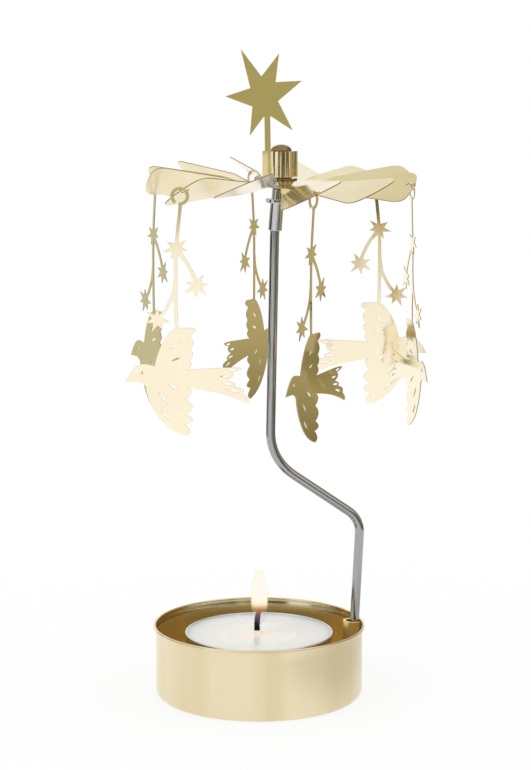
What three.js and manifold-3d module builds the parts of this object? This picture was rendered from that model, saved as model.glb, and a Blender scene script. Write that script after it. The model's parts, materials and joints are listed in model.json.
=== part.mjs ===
import * as THREE from "three";
import { mergeVertices } from "three/addons/utils/BufferGeometryUtils.js";
import Module from "manifold-3d";

// Candle carousel: a tealight in a brass dish, a cranked steel rod, and a bladed rotor that the warm
// air turns on a needle. Six cut-sheet birds hang from the rotor, and a star stands on its hub.
// Millimetres, +Z up. The origin is the middle of the dish's underside.

// Gaps
const seatGap = 0.3; // between a piece and what it rests on
const fitGap = 0.25; // round a pin in its bore
const cutOver = 1; // how far a cutting tool runs past the face it cuts

// Tealight
const tealightRadius = 19;
const cupWall = 0.25;
const cupHeight = 16;
const waxBelowRim = 0.25;
const wickRadius = 0.55;
const wickOffset = 0.5; // the wick stands a little left of the middle
const wickRise = 6.8; // above the wax
const wickBend = 1.2; // how far the wick's end leans over
const wickStraightShare = 0.25; // of the rise
const wickTurnShare = 0.67;
const tabRadius = 6;
const tabThickness = 0.3;
const tabNeckRadius = 1.2;
const tabNeckHeight = 3;

// Dish
const tealightGap = 7.15; // from the tealight to the dish's wall
const dishWall = 0.3;
const dishHeight = 18.67;
const dishFlare = 0.2; // the rim is this much wider than the foot
const dishCorner = 2;
const beadRadius = 0.46; // rolled edge

// Rod socket: a strap bent to a U and soldered to the inside of the dish's wall
const socketPlay = 0.4; // round the rod
const socketWall = 0.7;
const socketSetIn = 2; // middle of its bend, in from the wall
const socketBelowRim = 0.1;
const socketAngle = 8; // degrees from +X

// Rod
const rodRadius = 1.18;
const footHeight = 0.85; // the foot stands on the curve where the floor turns up
const footInset = 1; // between the foot and the wall
const lowElbowHeight = 45.2;
const lowElbowOut = 2.24; // the lower leg leans out by this much
const lowElbowReach = 4; // from the corner to where the bend starts
const highElbowHeight = 61.5;
const highElbowPast = 2.81; // the upper leg starts past the rotor's axis
const highElbowReach = 7.6;
const neckPast = 1.69; // where the upper leg turns towards the needle's tip
const neckBelowSleeve = 1.3;

// Ferrule and needle, along their own axis
const sleeveLength = 6.9;
const sleeveWall = 0.3;
const sleeveCap = 0.9; // solid metal over the rod's end
const collarRadius = 2.65;
const collarThickness = 0.9;
const shoulderRadius = 1.5;
const shoulderLength = 2.6;
const noseRadius = 1.15;
const noseLength = 2.8;
const needleRadius = 0.5;
const needleGrip = 3.7; // length inside the ferrule
const needleLength = 7.7; // above the ferrule
const needleTaper = 2.4;

// Rotor
const axisX = 5.6;
const axisY = 0.5;
const plateHeight = 131.1; // middle of the sheet at the hub
const rotorSheet = 0.25;
const rotorRadius = 33.9;
const hubRadius = 7;
const bladeCount = 12;
const slitWidth = 0.4;
const bladeCorner = 1.56; // how far a blade's corners are set back
const cornerPower = 12; // a higher one makes the corners tighter
const bladeRootShare = 0.05; // of the blade's length, inside the hub
const twistStart = 6.4;
const twistEnd = 15;
const firstBlade = 12.8; // degrees from -Y towards +X
// Each blade is bent by hand, so its pitch and its lift differ a little from the next one's.
const bladePitch = [24, 18, 21, 15, 16, 27, 37, 37, 33, 29, 28, 23]; // degrees
const bladeLift = [0.6, 1.5, 0.6, 3.5, 0.6, 0, -0.3, -1, 0, 3.5, 0.6, 5.5]; // degrees

// Hub cap
const capBore = 2.3;
const capWall = 0.3;
const capHeight = 10.1; // above the middle of the plate
const domeHeight = 1.5;
const domeShares = [[1, 0], [0.87, 0.5], [0.5, 0.87], [0, 1]]; // radius and height
const bossRadius = 3.15;
const bossHeight = 0.6; // under the flange
const flangeRadius = 3.65;
const flangeThickness = 0.75;
const neckBelowPlate = 0.55;

// Star topper
const topperSheet = 0.25;
const stripHeight = 6.4;
const stripLeft = 4.7; // from the axis
const stripRight = 4.05;
const strapHeight = 2.2;
const starWidth = 19.1;
const starHeight = 21.5;
const starLeft = 13.95; // its left point, from the axis
const starRise = 3.75; // its lowest point, above the strip
const starStemWidth = 1.45;
const starStemFoot = 3.58; // left of the axis
const starStemTopShares = [0.58, 0.5]; // of the star's width and height

// Pendants
const pendantSheet = 0.25;
const pendantCount = 6;
// Where each beak points, in degrees back from its blade's middle line
const pendantTurn = [42, 58, 42, 42, 42, 42];
const hookBore = 1.45;
const hookWidth = 0.83;
const hookSetIn = 0.4; // the hook's middle, in from the rotor's edge
const hookDrop = 0.95; // the hook's middle, below the blade
const hookStart = -56; // degrees; the hook is open between its two ends
const hookEnd = 280;
const hookHole = 1.05; // radius of the hole in the blade
const stemLength = 32.4; // from the hook's middle to the wing
const stemWidth = 0.85;
const smallStarRadius = 3.15;
const smallStarNotch = 1.35;
const birdWidth = 30.4;
const birdHeight = 26.6;
const birdForward = 13.5; // the beak, from below the hook
const wingOverStem = 0.4;
const slotWidth = 0.55;
const eyeRadius = 0.4;

// Facets
const dishSides = 48;
const roundSides = 24;
const pinSides = 12;
const holeSides = 10;
const cornerSteps = 4;
const rodSteps = 56;
const rodSides = 10;
const hookSteps = 15;
const curveSteps = 3;
const ribbonSteps = 2;
const eyeSides = 6;

// Derived places
const cupBottom = dishWall + seatGap;
const waxBottom = cupBottom + cupWall + seatGap;
const waxTop = cupBottom + cupHeight - waxBelowRim;
const dishInner = tealightRadius + tealightGap;
const sheetTop = plateHeight + rotorSheet / 2;
const capTop = plateHeight + capHeight;
const needleTip = capTop - capWall - seatGap;
const flangeBottom = sheetTop + seatGap + bossHeight;
const flangeTop = flangeBottom + flangeThickness;
const stripBottom = flangeTop + seatGap;
const hangRadius = rotorRadius - hookSetIn;

const brass = { color: 0xd9c48c, roughness: 0.28, metalness: 1 };
const paleBrass = { color: 0xf0e0b8, roughness: 0.35, metalness: 1 };
const oliveBrass = { color: 0xa8985f, roughness: 0.4, metalness: 1 };
const darkBrass = { color: 0x8a7040, roughness: 0.2, metalness: 1 };
const steel = { color: 0x9a9a9a, roughness: 0.3, metalness: 1 };
const aluminium = { color: 0xc8c8c8, roughness: 0.35, metalness: 1 };
const paraffin = { color: 0xf2f0ea, roughness: 0.5, metalness: 0 };
const charredCotton = { color: 0x1a1410, roughness: 0.9, metalness: 0 };

const wasm = await Module();
wasm.setup();

// Turns a closed three.js geometry into a solid that can be joined and cut.
function toSolid(geometry) {
  const bare = new THREE.BufferGeometry();
  bare.setAttribute("position", geometry.getAttribute("position"));
  bare.setIndex(geometry.getIndex());
  const merged = mergeVertices(bare);
  const corners = merged.getIndex().array;
  const kept = [];
  for (let i = 0; i < corners.length; i += 3) {
    const [a, b, c] = [corners[i], corners[i + 1], corners[i + 2]];
    if (a !== b && b !== c && c !== a) kept.push(a, b, c);
  }
  return new wasm.Manifold(
    new wasm.Mesh({
      numProp: 3,
      vertProperties: new Float32Array(merged.getAttribute("position").array),
      triVerts: new Uint32Array(kept),
    }),
  );
}

function toGeometry(solid) {
  const mesh = solid.getMesh();
  const geometry = new THREE.BufferGeometry();
  geometry.setAttribute("position", new THREE.BufferAttribute(mesh.vertProperties, 3));
  geometry.setIndex(new THREE.BufferAttribute(mesh.triVerts, 1));
  geometry.computeVertexNormals();
  return geometry;
}

function piece(name, solid, finish) {
  const mesh = new THREE.Mesh(toGeometry(solid), new THREE.MeshStandardMaterial(finish));
  mesh.name = name;
  return mesh;
}

// A solid of revolution about Z. The profile runs counter-clockwise in radius and height.
function turned(profile, sides) {
  const points = profile.map(([radius, height]) => new THREE.Vector2(radius, height));
  return toSolid(new THREE.LatheGeometry(points, sides).rotateX(Math.PI / 2));
}

function cylinder(radius, low, high, sides) {
  return turned([[0, low], [radius, low], [radius, high], [0, high]], sides);
}

// A flat sheet that lies in the XY plane, with its middle at height zero.
function flatSheet(shape, thickness) {
  const settings = { depth: thickness, bevelEnabled: false, curveSegments: curveSteps };
  return toSolid(new THREE.ExtrudeGeometry(shape, settings).translate(0, 0, -thickness / 2));
}

// The same sheet, standing in the XZ plane.
function standingSheet(shape, thickness) {
  return flatSheet(shape, thickness).rotate([90, 0, 0]);
}

function joined(solids) {
  return solids.reduce((whole, next) => whole.add(next));
}

function arcPoints(middleX, middleY, radius, fromDegrees, toDegrees, steps) {
  const points = [];
  for (let i = 0; i <= steps; i += 1) {
    const angle = THREE.MathUtils.degToRad(fromDegrees + ((toDegrees - fromDegrees) * i) / steps);
    points.push([middleX + radius * Math.cos(angle), middleY + radius * Math.sin(angle)]);
  }
  return points;
}

function outline(points) {
  return new THREE.Shape(points.map(([x, y]) => new THREE.Vector2(x, y)));
}

// A strip of sheet of even width along a curve.
function ribbon(points, width) {
  const steps = (points.length - 1) * ribbonSteps;
  const curve = new THREE.SplineCurve(points.map(([x, y]) => new THREE.Vector2(x, y)));
  const left = [];
  const right = [];
  for (let i = 0; i <= steps; i += 1) {
    const at = curve.getPoint(i / steps);
    const along = curve.getTangent(i / steps);
    left.unshift([at.x - (along.y * width) / 2, at.y + (along.x * width) / 2]);
    right.push([at.x + (along.y * width) / 2, at.y - (along.x * width) / 2]);
  }
  return outline([...right, ...left]);
}

// Dish: a drawn cup with a rolled edge
function dish() {
  const outerFoot = dishInner + dishWall;
  const outerRim = outerFoot + dishFlare;
  const innerCorner = dishCorner - dishWall;
  const beadMiddle = dishHeight - beadRadius;
  return turned(
    [
      [0, 0],
      ...arcPoints(outerFoot - dishCorner, dishCorner, dishCorner, -90, 0, cornerSteps),
      [outerRim, beadMiddle - beadRadius],
      ...arcPoints(outerRim, beadMiddle, beadRadius, -45, 90, cornerSteps),
      [outerRim - dishWall, dishHeight],
      ...arcPoints(outerFoot - dishCorner, dishCorner, innerCorner, 0, -90, cornerSteps),
      [0, dishWall],
    ],
    dishSides,
  );
}

function rodSocket() {
  const top = dishHeight - socketBelowRim;
  const reach = dishInner - seatGap;
  const inside = turned([[0, 0], [reach, 0], [reach + dishFlare, dishHeight], [0, dishHeight]], dishSides);
  const bore = rodRadius + socketPlay;
  return channel(bore + socketWall, dishCorner, top)
    .subtract(channel(bore, dishCorner - cutOver, top + cutOver))
    .rotate([0, 0, socketAngle])
    .intersect(inside);
}

// A solid with one round side, which runs outwards from the socket's bend past the wall.
function channel(radius, low, high) {
  const bend = cylinder(radius, low, high, roundSides).translate([dishInner - socketSetIn, 0, 0]);
  return wasm.Manifold.hull([bend, bend.translate([socketSetIn + radius, 0, 0])]);
}

function polar(radius, degrees) {
  const angle = THREE.MathUtils.degToRad(degrees);
  return new THREE.Vector2(radius * Math.cos(angle), radius * Math.sin(angle));
}

// Tealight
function tealightCup() {
  const top = cupBottom + cupHeight;
  const inner = tealightRadius - cupWall;
  const floor = cupBottom + cupWall;
  const outside = [[0, cupBottom], [tealightRadius, cupBottom], [tealightRadius, top]];
  return turned([...outside, [inner, top], [inner, floor], [0, floor]], dishSides);
}

function wax() {
  const block = cylinder(tealightRadius - cupWall - fitGap, waxBottom, waxTop, dishSides);
  const tabTop = waxBottom + tabThickness + fitGap;
  const neckTop = tabTop + tabNeckHeight;
  const wickBore = wickRadius + fitGap;
  const neckBore = tabNeckRadius + fitGap;
  const room = turned(
    [
      [0, waxBottom - cutOver],
      [tabRadius + fitGap, waxBottom - cutOver],
      [tabRadius + fitGap, tabTop],
      [neckBore, tabTop],
      [neckBore, neckTop],
      [wickBore, neckTop],
      [wickBore, waxTop + cutOver],
      [0, waxTop + cutOver],
    ],
    roundSides,
  );
  return block.subtract(room.translate([-wickOffset, 0, 0]));
}

// The pressed metal foot of the wick: a disc with a short neck that the wick stands in
function wickTab() {
  const top = waxBottom + tabThickness;
  const bore = wickRadius + fitGap;
  const profile = [
    [bore, waxBottom],
    [tabRadius, waxBottom],
    [tabRadius, top],
    [tabNeckRadius, top],
    [tabNeckRadius, top + tabNeckHeight],
    [bore, top + tabNeckHeight],
    [bore, waxBottom],
  ];
  return turned(profile, roundSides).translate([-wickOffset, 0, 0]);
}

function wick() {
  const straightTop = waxTop + wickRise * wickStraightShare;
  const path = new THREE.CurvePath();
  const low = new THREE.Vector3(-wickOffset, 0, waxBottom + seatGap);
  const start = new THREE.Vector3(-wickOffset, 0, straightTop);
  const bend = new THREE.Vector3(-wickOffset, 0, waxTop + wickRise * wickTurnShare);
  const end = new THREE.Vector3(wickBend - wickOffset, 0, waxTop + wickRise);
  path.add(new THREE.LineCurve3(low, start));
  path.add(new THREE.QuadraticBezierCurve3(start, bend, end));
  return sweptRound(path, wickRadius, pinSides, roundSides);
}

function sweptRound(path, radius, sides, steps) {
  const section = outline(arcPoints(0, 0, radius, 0, 360 - 360 / sides, sides - 1));
  return toSolid(new THREE.ExtrudeGeometry(section, { extrudePath: path, steps }));
}

// Rod: it stands in the socket, and its crank brings the needle over the candle. The whole rod
// lies in one upright plane, from the rotor's axis to the foot.
const axisPoint = new THREE.Vector2(axisX, axisY);
const footPoint = polar(dishInner - footInset - rodRadius, socketAngle);
const footReach = footPoint.distanceTo(axisPoint);
const rodPlane = footPoint.clone().sub(axisPoint).normalize();

function inRodPlane(reach, height) {
  return new THREE.Vector3(axisX + rodPlane.x * reach, axisY + rodPlane.y * reach, height);
}

const tipPoint = inRodPlane(0, needleTip);
const ferruleLength = sleeveLength + collarThickness + shoulderLength + noseLength;
const neckPoint = inRodPlane(-neckPast, needleTip - needleLength - ferruleLength - neckBelowSleeve);
const needleAxis = tipPoint.clone().sub(neckPoint).normalize();

// A point on the needle's axis, the given distance below its tip.
function belowTip(distance) {
  return tipPoint.clone().addScaledVector(needleAxis, -distance);
}

function rod() {
  const foot = inRodPlane(footReach, footHeight);
  const lowElbow = inRodPlane(footReach + lowElbowOut, lowElbowHeight);
  const highElbow = inRodPlane(-highElbowPast, highElbowHeight);
  const sleeveBottom = needleLength + ferruleLength;
  const top = belowTip(sleeveBottom - sleeveLength + sleeveCap + seatGap);
  const path = new THREE.CurvePath();
  const lowBend = bendAt(foot, lowElbow, highElbow, lowElbowReach);
  const highBend = bendAt(lowElbow, highElbow, neckPoint, highElbowReach);
  path.add(new THREE.LineCurve3(foot, lowBend.v0));
  path.add(lowBend);
  path.add(new THREE.LineCurve3(lowBend.v2, highBend.v0));
  path.add(highBend);
  path.add(new THREE.LineCurve3(highBend.v2, neckPoint));
  path.add(new THREE.LineCurve3(neckPoint, top));
  return sweptRound(path, rodRadius, rodSides, rodSteps);
}

function bendAt(before, corner, after, reach) {
  const towards = (other) => corner.clone().addScaledVector(other.clone().sub(corner).normalize(), reach);
  return new THREE.QuadraticBezierCurve3(towards(before), corner, towards(after));
}

// Ferrule: a sleeve over the rod's top, with a collar and a nose that holds the needle. Heights in its
// profile and in the needle's are measured from the needle's tip.
function ferrule() {
  const noseTop = -needleLength;
  const shoulderTop = noseTop - noseLength;
  const collarTop = shoulderTop - shoulderLength;
  const collarBottom = collarTop - collarThickness;
  const sleeveBottom = collarBottom - sleeveLength;
  const bore = rodRadius + fitGap;
  const body = turned(
    [
      [0, sleeveBottom],
      [bore + sleeveWall, sleeveBottom],
      [bore + sleeveWall, collarBottom],
      [collarRadius, collarBottom],
      [collarRadius, collarTop],
      [shoulderRadius, collarTop],
      [shoulderRadius, shoulderTop],
      [noseRadius, shoulderTop],
      [noseRadius, noseTop],
      [0, noseTop],
    ],
    roundSides,
  );
  return body
    .subtract(cylinder(bore, sleeveBottom - cutOver, collarBottom - sleeveCap, pinSides))
    .subtract(cylinder(needleRadius + fitGap, noseTop - needleGrip - seatGap, noseTop + cutOver, pinSides));
}

function needle() {
  const bottom = -needleLength - needleGrip;
  return turned([[0, bottom], [needleRadius, bottom], [needleRadius, -needleTaper], [0, 0]], pinSides);
}

// Places a piece that was made along Z, tip at zero, on the needle's leaning axis.
function onNeedleAxis(mesh) {
  mesh.position.copy(tipPoint);
  mesh.quaternion.setFromUnitVectors(new THREE.Vector3(0, 0, 1), needleAxis);
  return mesh;
}

// Rotor: one sheet, slit into blades and twisted. Everything on it is made about its own axis.
function bladeAngle(index) {
  return THREE.MathUtils.degToRad(firstBlade + (index * 360) / bladeCount);
}

// A point of a blade: along its middle line, across it, and off the sheet's middle.
function bladePoint(index, along, across, off) {
  const angle = bladeAngle(index);
  const lift = THREE.MathUtils.degToRad(bladeLift[index % bladeLift.length]);
  const ramp = THREE.MathUtils.smoothstep(along, twistStart, twistEnd);
  const pitch = THREE.MathUtils.degToRad(bladePitch[index % bladePitch.length]) * ramp;
  const past = Math.max(0, along - hubRadius);
  const reach = Math.min(along, hubRadius) + past * Math.cos(lift);
  const out = new THREE.Vector3(Math.sin(angle), -Math.cos(angle), 0);
  const side = new THREE.Vector3(Math.cos(angle), Math.sin(angle), 0);
  const up = new THREE.Vector3(0, 0, 1);
  return new THREE.Vector3(0, 0, plateHeight + past * Math.sin(lift))
    .addScaledVector(out, reach)
    .addScaledVector(side, across * Math.cos(pitch) - off * Math.sin(pitch))
    .addScaledVector(up, across * Math.sin(pitch) + off * Math.cos(pitch));
}

const acrossShares = [-1, -0.88, -0.5, 0.5, 0.88, 1];
const alongShares = [0, 0.1, 0.18, 0.26, 0.36, 0.68, 1];

function blade(index) {
  const halfSlice = Math.PI / bladeCount;
  const start = hubRadius - (rotorRadius - hubRadius) * bladeRootShare;
  const positions = [];
  for (const off of [-rotorSheet / 2, rotorSheet / 2]) {
    for (const share of alongShares) {
      for (const side of acrossShares) {
        const inset = bladeCorner * (1 - Math.sqrt(1 - Math.abs(side) ** cornerPower));
        const end = rotorRadius * Math.cos(halfSlice * side) - inset;
        const along = start + (end - start) * share;
        const across = side * (along * Math.tan(halfSlice) - slitWidth / 2);
        positions.push(bladePoint(index, along, across, off));
      }
    }
  }
  return toSolid(boxGrid(positions, alongShares.length, acrossShares.length));
}

// Closes two grids of points, one over the other, into a slab.
function boxGrid(positions, rows, columns) {
  const layer = rows * columns;
  const faces = [];
  const quad = (a, b, c, d) => faces.push(a, b, c, a, c, d);
  for (let row = 0; row + 1 < rows; row += 1) {
    for (let column = 0; column + 1 < columns; column += 1) {
      const near = row * columns + column;
      const far = near + columns;
      quad(near, near + 1, far + 1, far);
      quad(layer + near, layer + far, layer + far + 1, layer + near + 1);
    }
    const left = row * columns;
    const right = left + columns - 1;
    quad(left, left + columns, layer + left + columns, layer + left);
    quad(right, layer + right, layer + right + columns, right + columns);
  }
  for (let column = 0; column + 1 < columns; column += 1) {
    const last = (rows - 1) * columns + column;
    quad(column, layer + column, layer + column + 1, column + 1);
    quad(last, last + 1, layer + last + 1, layer + last);
  }
  const geometry = new THREE.BufferGeometry().setFromPoints(positions);
  geometry.setIndex(faces);
  return geometry;
}

// Where a pendant's hook hangs, and where it goes through its blade. The hook is a ring in an upright
// plane, so the hole is where that ring crosses the blade's slope.
function hookPlace(index) {
  const bladeIndex = index * (bladeCount / pendantCount);
  const turn = THREE.MathUtils.degToRad(pendantTurn[index % pendantTurn.length]);
  const pitch = THREE.MathUtils.degToRad(bladePitch[bladeIndex % bladePitch.length]);
  const lift = THREE.MathUtils.degToRad(bladeLift[bladeIndex % bladeLift.length]);
  const ring = hookBore + hookWidth / 2;
  const slope = Math.sin(turn) * Math.tan(pitch) - Math.cos(turn) * Math.tan(lift);
  const steep = 1 + slope * slope;
  const reach = (Math.sqrt(ring * ring * steep - hookDrop * hookDrop) - slope * hookDrop) / steep;
  const along = hangRadius - (reach * Math.cos(turn)) / Math.cos(lift);
  const across = (reach * Math.sin(turn)) / Math.cos(pitch);
  const middle = bladePoint(bladeIndex, hangRadius, 0, 0);
  const hole = bladePoint(bladeIndex, along, across, 0);
  return { middle: middle.setZ(middle.z - hookDrop), hole };
}

function rotor() {
  const half = rotorSheet / 2;
  const hub = cylinder(hubRadius, plateHeight - half, plateHeight + half, dishSides);
  const blades = Array.from({ length: bladeCount }, (_, index) => blade(index));
  const holes = Array.from({ length: pendantCount }, (_, index) => {
    const { hole } = hookPlace(index);
    return cylinder(hookHole, -cutOver, cutOver, holeSides).translate([hole.x, hole.y, hole.z]);
  });
  const neckHole = cylinder(capBore + capWall + fitGap, sheetTop - cutOver, sheetTop + cutOver, roundSides);
  return joined([hub, ...blades]).subtract(joined([neckHole, ...holes]));
}

// Hub cap: a deep-drawn thimble that rides on the needle's tip, with a boss and a flange on the plate
function hubCap() {
  const outer = capBore + capWall;
  const shoulder = capTop - domeHeight;
  const low = plateHeight - rotorSheet / 2 - neckBelowPlate;
  const dome = (radius, base) => domeShares.map(([out, up]) => [radius * out, base + domeHeight * up]);
  return turned(
    [
      [capBore, low],
      [outer, low],
      [outer, sheetTop + seatGap],
      [bossRadius, sheetTop + seatGap],
      [bossRadius, flangeBottom],
      [flangeRadius, flangeBottom],
      [flangeRadius, flangeTop],
      [outer, flangeTop],
      ...dome(outer, shoulder),
      ...dome(capBore, shoulder - capWall).reverse(),
      [capBore, low],
    ],
    roundSides,
  );
}

// Star topper: one sheet. Its strip goes round the front of the cap, with a strap behind.
const starPointShares = [
  [0.201, 1], [0.471, 0.684], [0.7, 0.946], [0.656, 0.618], [1, 0.634], [0.688, 0.399], [0.881, 0.06],
  [0.594, 0.224], [0.5, 0.217], [0.32, 0], [0.354, 0.335], [0, 0.453], [0.327, 0.549],
];

function starTopper() {
  const inner = capBore + capWall + fitGap;
  const outer = inner + topperSheet;
  const half = topperSheet / 2;
  const band = outline([
    [-stripLeft, -half],
    ...arcPoints(0, 0, outer, 180, 360, holeSides),
    [stripRight, -half],
    [stripRight, half],
    ...arcPoints(0, 0, inner, 360, 180, holeSides),
    [-stripLeft, half],
  ]);
  const strap = outline([
    ...arcPoints(0, 0, outer, 0, 180, holeSides),
    ...arcPoints(0, 0, inner, 180, 0, holeSides),
  ]);
  const stripTop = stripBottom + stripHeight;
  const starBottom = stripTop + starRise;
  const star = outline(
    starPointShares.map(([x, z]) => [-starLeft + x * starWidth, starBottom + z * starHeight]),
  );
  const [topX, topZ] = starStemTopShares;
  const stemTop = [topX * starWidth - starLeft, starBottom + topZ * starHeight];
  const stem = ribbon([[-starStemFoot, stripBottom], [-starStemFoot, stripTop], stemTop], starStemWidth);
  return joined([
    flatSheet(band, stripHeight).translate([0, 0, stripBottom + stripHeight / 2]),
    flatSheet(strap, strapHeight).translate([0, 0, stripBottom + stripHeight / 2]),
    standingSheet(star, topperSheet),
    standingSheet(stem, topperSheet),
  ]);
}

// Pendants: each is one cut sheet, a hook, a stem with three stars on it, and a bird. In its own plane,
// the hook's middle is the origin, the beak points to +X and up is +Y.
const starPlaceShares = [[0.028, -0.39], [-0.122, -0.67], [0.172, -0.925]];
const stemPathShares = [[-0.005, -0.06], [0.028, -0.39], [0.034, -0.7], [0.03, -1.02]];
const tailTwigShares = [[0.028, -0.39], [-0.05, -0.5], [-0.1, -0.6], [-0.122, -0.67]];
const beakTwigShares = [[0.034, -0.62], [0.055, -0.74], [0.11, -0.85], [0.172, -0.925]];
const smallStarTipShares = [1, 0.85, 1.08, 0.95, 1.05, 0.9];
const twigDegrees = [88, 70, 140]; // where each star's twig comes in

// The bird's outline in its own box: 0 is the tail's end and the lower wing's tip, 1 the beak and the
// upper wing. Each step is the end of a line, or the control point and the end of a curve.
const birdStartShare = [1, 0.498];
const birdOutlineShares = [
  [[0.93, 0.668], [0.857, 0.667]], [[0.8, 0.665], [0.765, 0.645]], [[0.725, 0.87], [0.626, 0.973]],
  [[0.6, 1], [0.56, 1]], [[0.455, 1]], [[0.405, 0.965], [0.487, 0.925]],
  [[0.42, 0.86], [0.478, 0.8]], [[0.43, 0.745], [0.487, 0.7]], [[0.44, 0.65], [0.508, 0.612]],
  [[0.194, 0.632]], [[-0.04, 0.64], [0.15, 0.584]], [[0.1, 0.556], [0.182, 0.511]],
  [[0.08, 0.48], [0.132, 0.455]], [[0.02, 0.432], [0.055, 0.385]], [[-0.01, 0.33], [0.02, 0.3]],
  [[0.2, 0.4], [0.502, 0.446]], [[0.43, 0.4], [0.518, 0.338]], [[0.41, 0.26], [0.514, 0.196]],
  [[0.4, 0.13], [0.529, 0.107]], [[0.44, 0.03], [0.52, 0]], [[0.65, 0.04], [0.733, 0.17]],
  [[0.82, 0.31], [0.834, 0.453]], [[0.85, 0.495], [0.903, 0.502]],
];
const slotEndShares = [
  [[0.564, 0.858], [0.63, 0.808]], [[0.556, 0.728], [0.63, 0.694]], [[0.66, 0.492], [0.58, 0.427]],
  [[0.73, 0.405], [0.664, 0.295]], [[0.714, 0.235], [0.644, 0.14]], [[0.178, 0.605], [0.1, 0.612]],
  [[0.245, 0.549], [0.163, 0.549]], [[0.224, 0.4846], [0.128, 0.472]], [[0.18, 0.43], [0.085, 0.398]],
];
const eyeShare = [0.869, 0.585];

function inBirdBox([x, y]) {
  const top = -stemLength + wingOverStem;
  return [birdForward - (1 - x) * birdWidth, top - (1 - y) * birdHeight];
}

// A cut slot with pointed ends.
function slot([from, to]) {
  const [ax, ay] = inBirdBox(from);
  const [bx, by] = inBirdBox(to);
  const length = Math.hypot(bx - ax, by - ay);
  const [nx, ny] = [(-(by - ay) / length) * slotWidth, ((bx - ax) / length) * slotWidth];
  const [mx, my] = [(ax + bx) / 2, (ay + by) / 2];
  const path = new THREE.Path();
  path.moveTo(ax, ay);
  path.quadraticCurveTo(mx + nx, my + ny, bx, by);
  path.quadraticCurveTo(mx - nx, my - ny, ax, ay);
  return path;
}

function bird() {
  const shape = new THREE.Shape();
  shape.moveTo(...inBirdBox(birdStartShare));
  for (const step of birdOutlineShares) {
    const points = step.map(inBirdBox);
    if (points.length === 1) shape.lineTo(...points[0]);
    else shape.quadraticCurveTo(...points[0], ...points[1]);
  }
  shape.closePath();
  shape.holes = slotEndShares.map(slot);
  const [eyeX, eyeY] = inBirdBox(eyeShare);
  const eye = arcPoints(eyeX, eyeY, eyeRadius, 0, 360 - 360 / eyeSides, eyeSides - 1);
  shape.holes.push(new THREE.Path(outline(eye).getPoints()));
  return shape;
}

// A star with seven places for a tip. The twig that carries it comes in at the first one.
function smallStar([x, y], firstDegrees) {
  const points = [];
  const places = smallStarTipShares.length + 1;
  for (let i = 0; i < places; i += 1) {
    const tip = i === 0 ? smallStarNotch : smallStarRadius * smallStarTipShares[i - 1];
    const angle = THREE.MathUtils.degToRad(firstDegrees + (i * 360) / places);
    const notch = THREE.MathUtils.degToRad(firstDegrees + ((i + 0.5) * 360) / places);
    points.push([x + tip * Math.cos(angle), y + tip * Math.sin(angle)]);
    points.push([x + smallStarNotch * Math.cos(notch), y + smallStarNotch * Math.sin(notch)]);
  }
  return outline(points);
}

function pendant() {
  const outer = hookBore + hookWidth;
  const onStem = ([x, y]) => [x * stemLength, y * stemLength];
  const hook = outline([
    ...arcPoints(0, 0, outer, hookStart, hookEnd, hookSteps),
    ...arcPoints(0, 0, hookBore, hookEnd, hookStart, hookSteps),
  ]);
  const parts = [
    hook,
    bird(),
    ribbon(stemPathShares.map(onStem), stemWidth),
    ribbon(tailTwigShares.map(onStem), stemWidth),
    ribbon(beakTwigShares.map(onStem), stemWidth),
    ...starPlaceShares.map((place, index) => smallStar(onStem(place), twigDegrees[index])),
  ];
  return joined(parts.map((shape) => standingSheet(shape, pendantSheet)));
}

const carousel = new THREE.Group();
carousel.add(piece("dish", dish(), brass));
carousel.add(piece("rod_socket", rodSocket(), brass));
carousel.add(piece("tealight_cup", tealightCup(), aluminium));
carousel.add(piece("wax", wax(), paraffin));
carousel.add(piece("wick_tab", wickTab(), aluminium));
carousel.add(piece("wick", wick(), charredCotton));
carousel.add(piece("rod", rod(), steel));
carousel.add(onNeedleAxis(piece("ferrule", ferrule(), steel)));
carousel.add(onNeedleAxis(piece("needle", needle(), steel)));

const turning = new THREE.Group();
turning.position.set(axisX, axisY, 0);
turning.add(piece("rotor", rotor(), paleBrass));
turning.add(piece("hub_cap", hubCap(), darkBrass));
turning.add(piece("star_topper", starTopper(), oliveBrass));
const pendantSolid = pendant();
for (let index = 0; index < pendantCount; index += 1) {
  const mesh = piece(`pendant_${index + 1}`, pendantSolid, paleBrass);
  const facing = firstBlade + (index * 360) / pendantCount - pendantTurn[index % pendantTurn.length];
  mesh.position.copy(hookPlace(index).middle);
  mesh.rotation.z = THREE.MathUtils.degToRad(facing - 90);
  turning.add(mesh);
}
carousel.add(turning);

export default carousel;
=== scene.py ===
import json
import math

import bmesh
import bpy
from bmesh.types import BMEdge, BMFace, BMVert
from bpy.props import FloatProperty, FloatVectorProperty, IntProperty, PointerProperty
from bpy.types import Operator, Panel, PropertyGroup
from mathutils import Matrix, Vector


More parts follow.
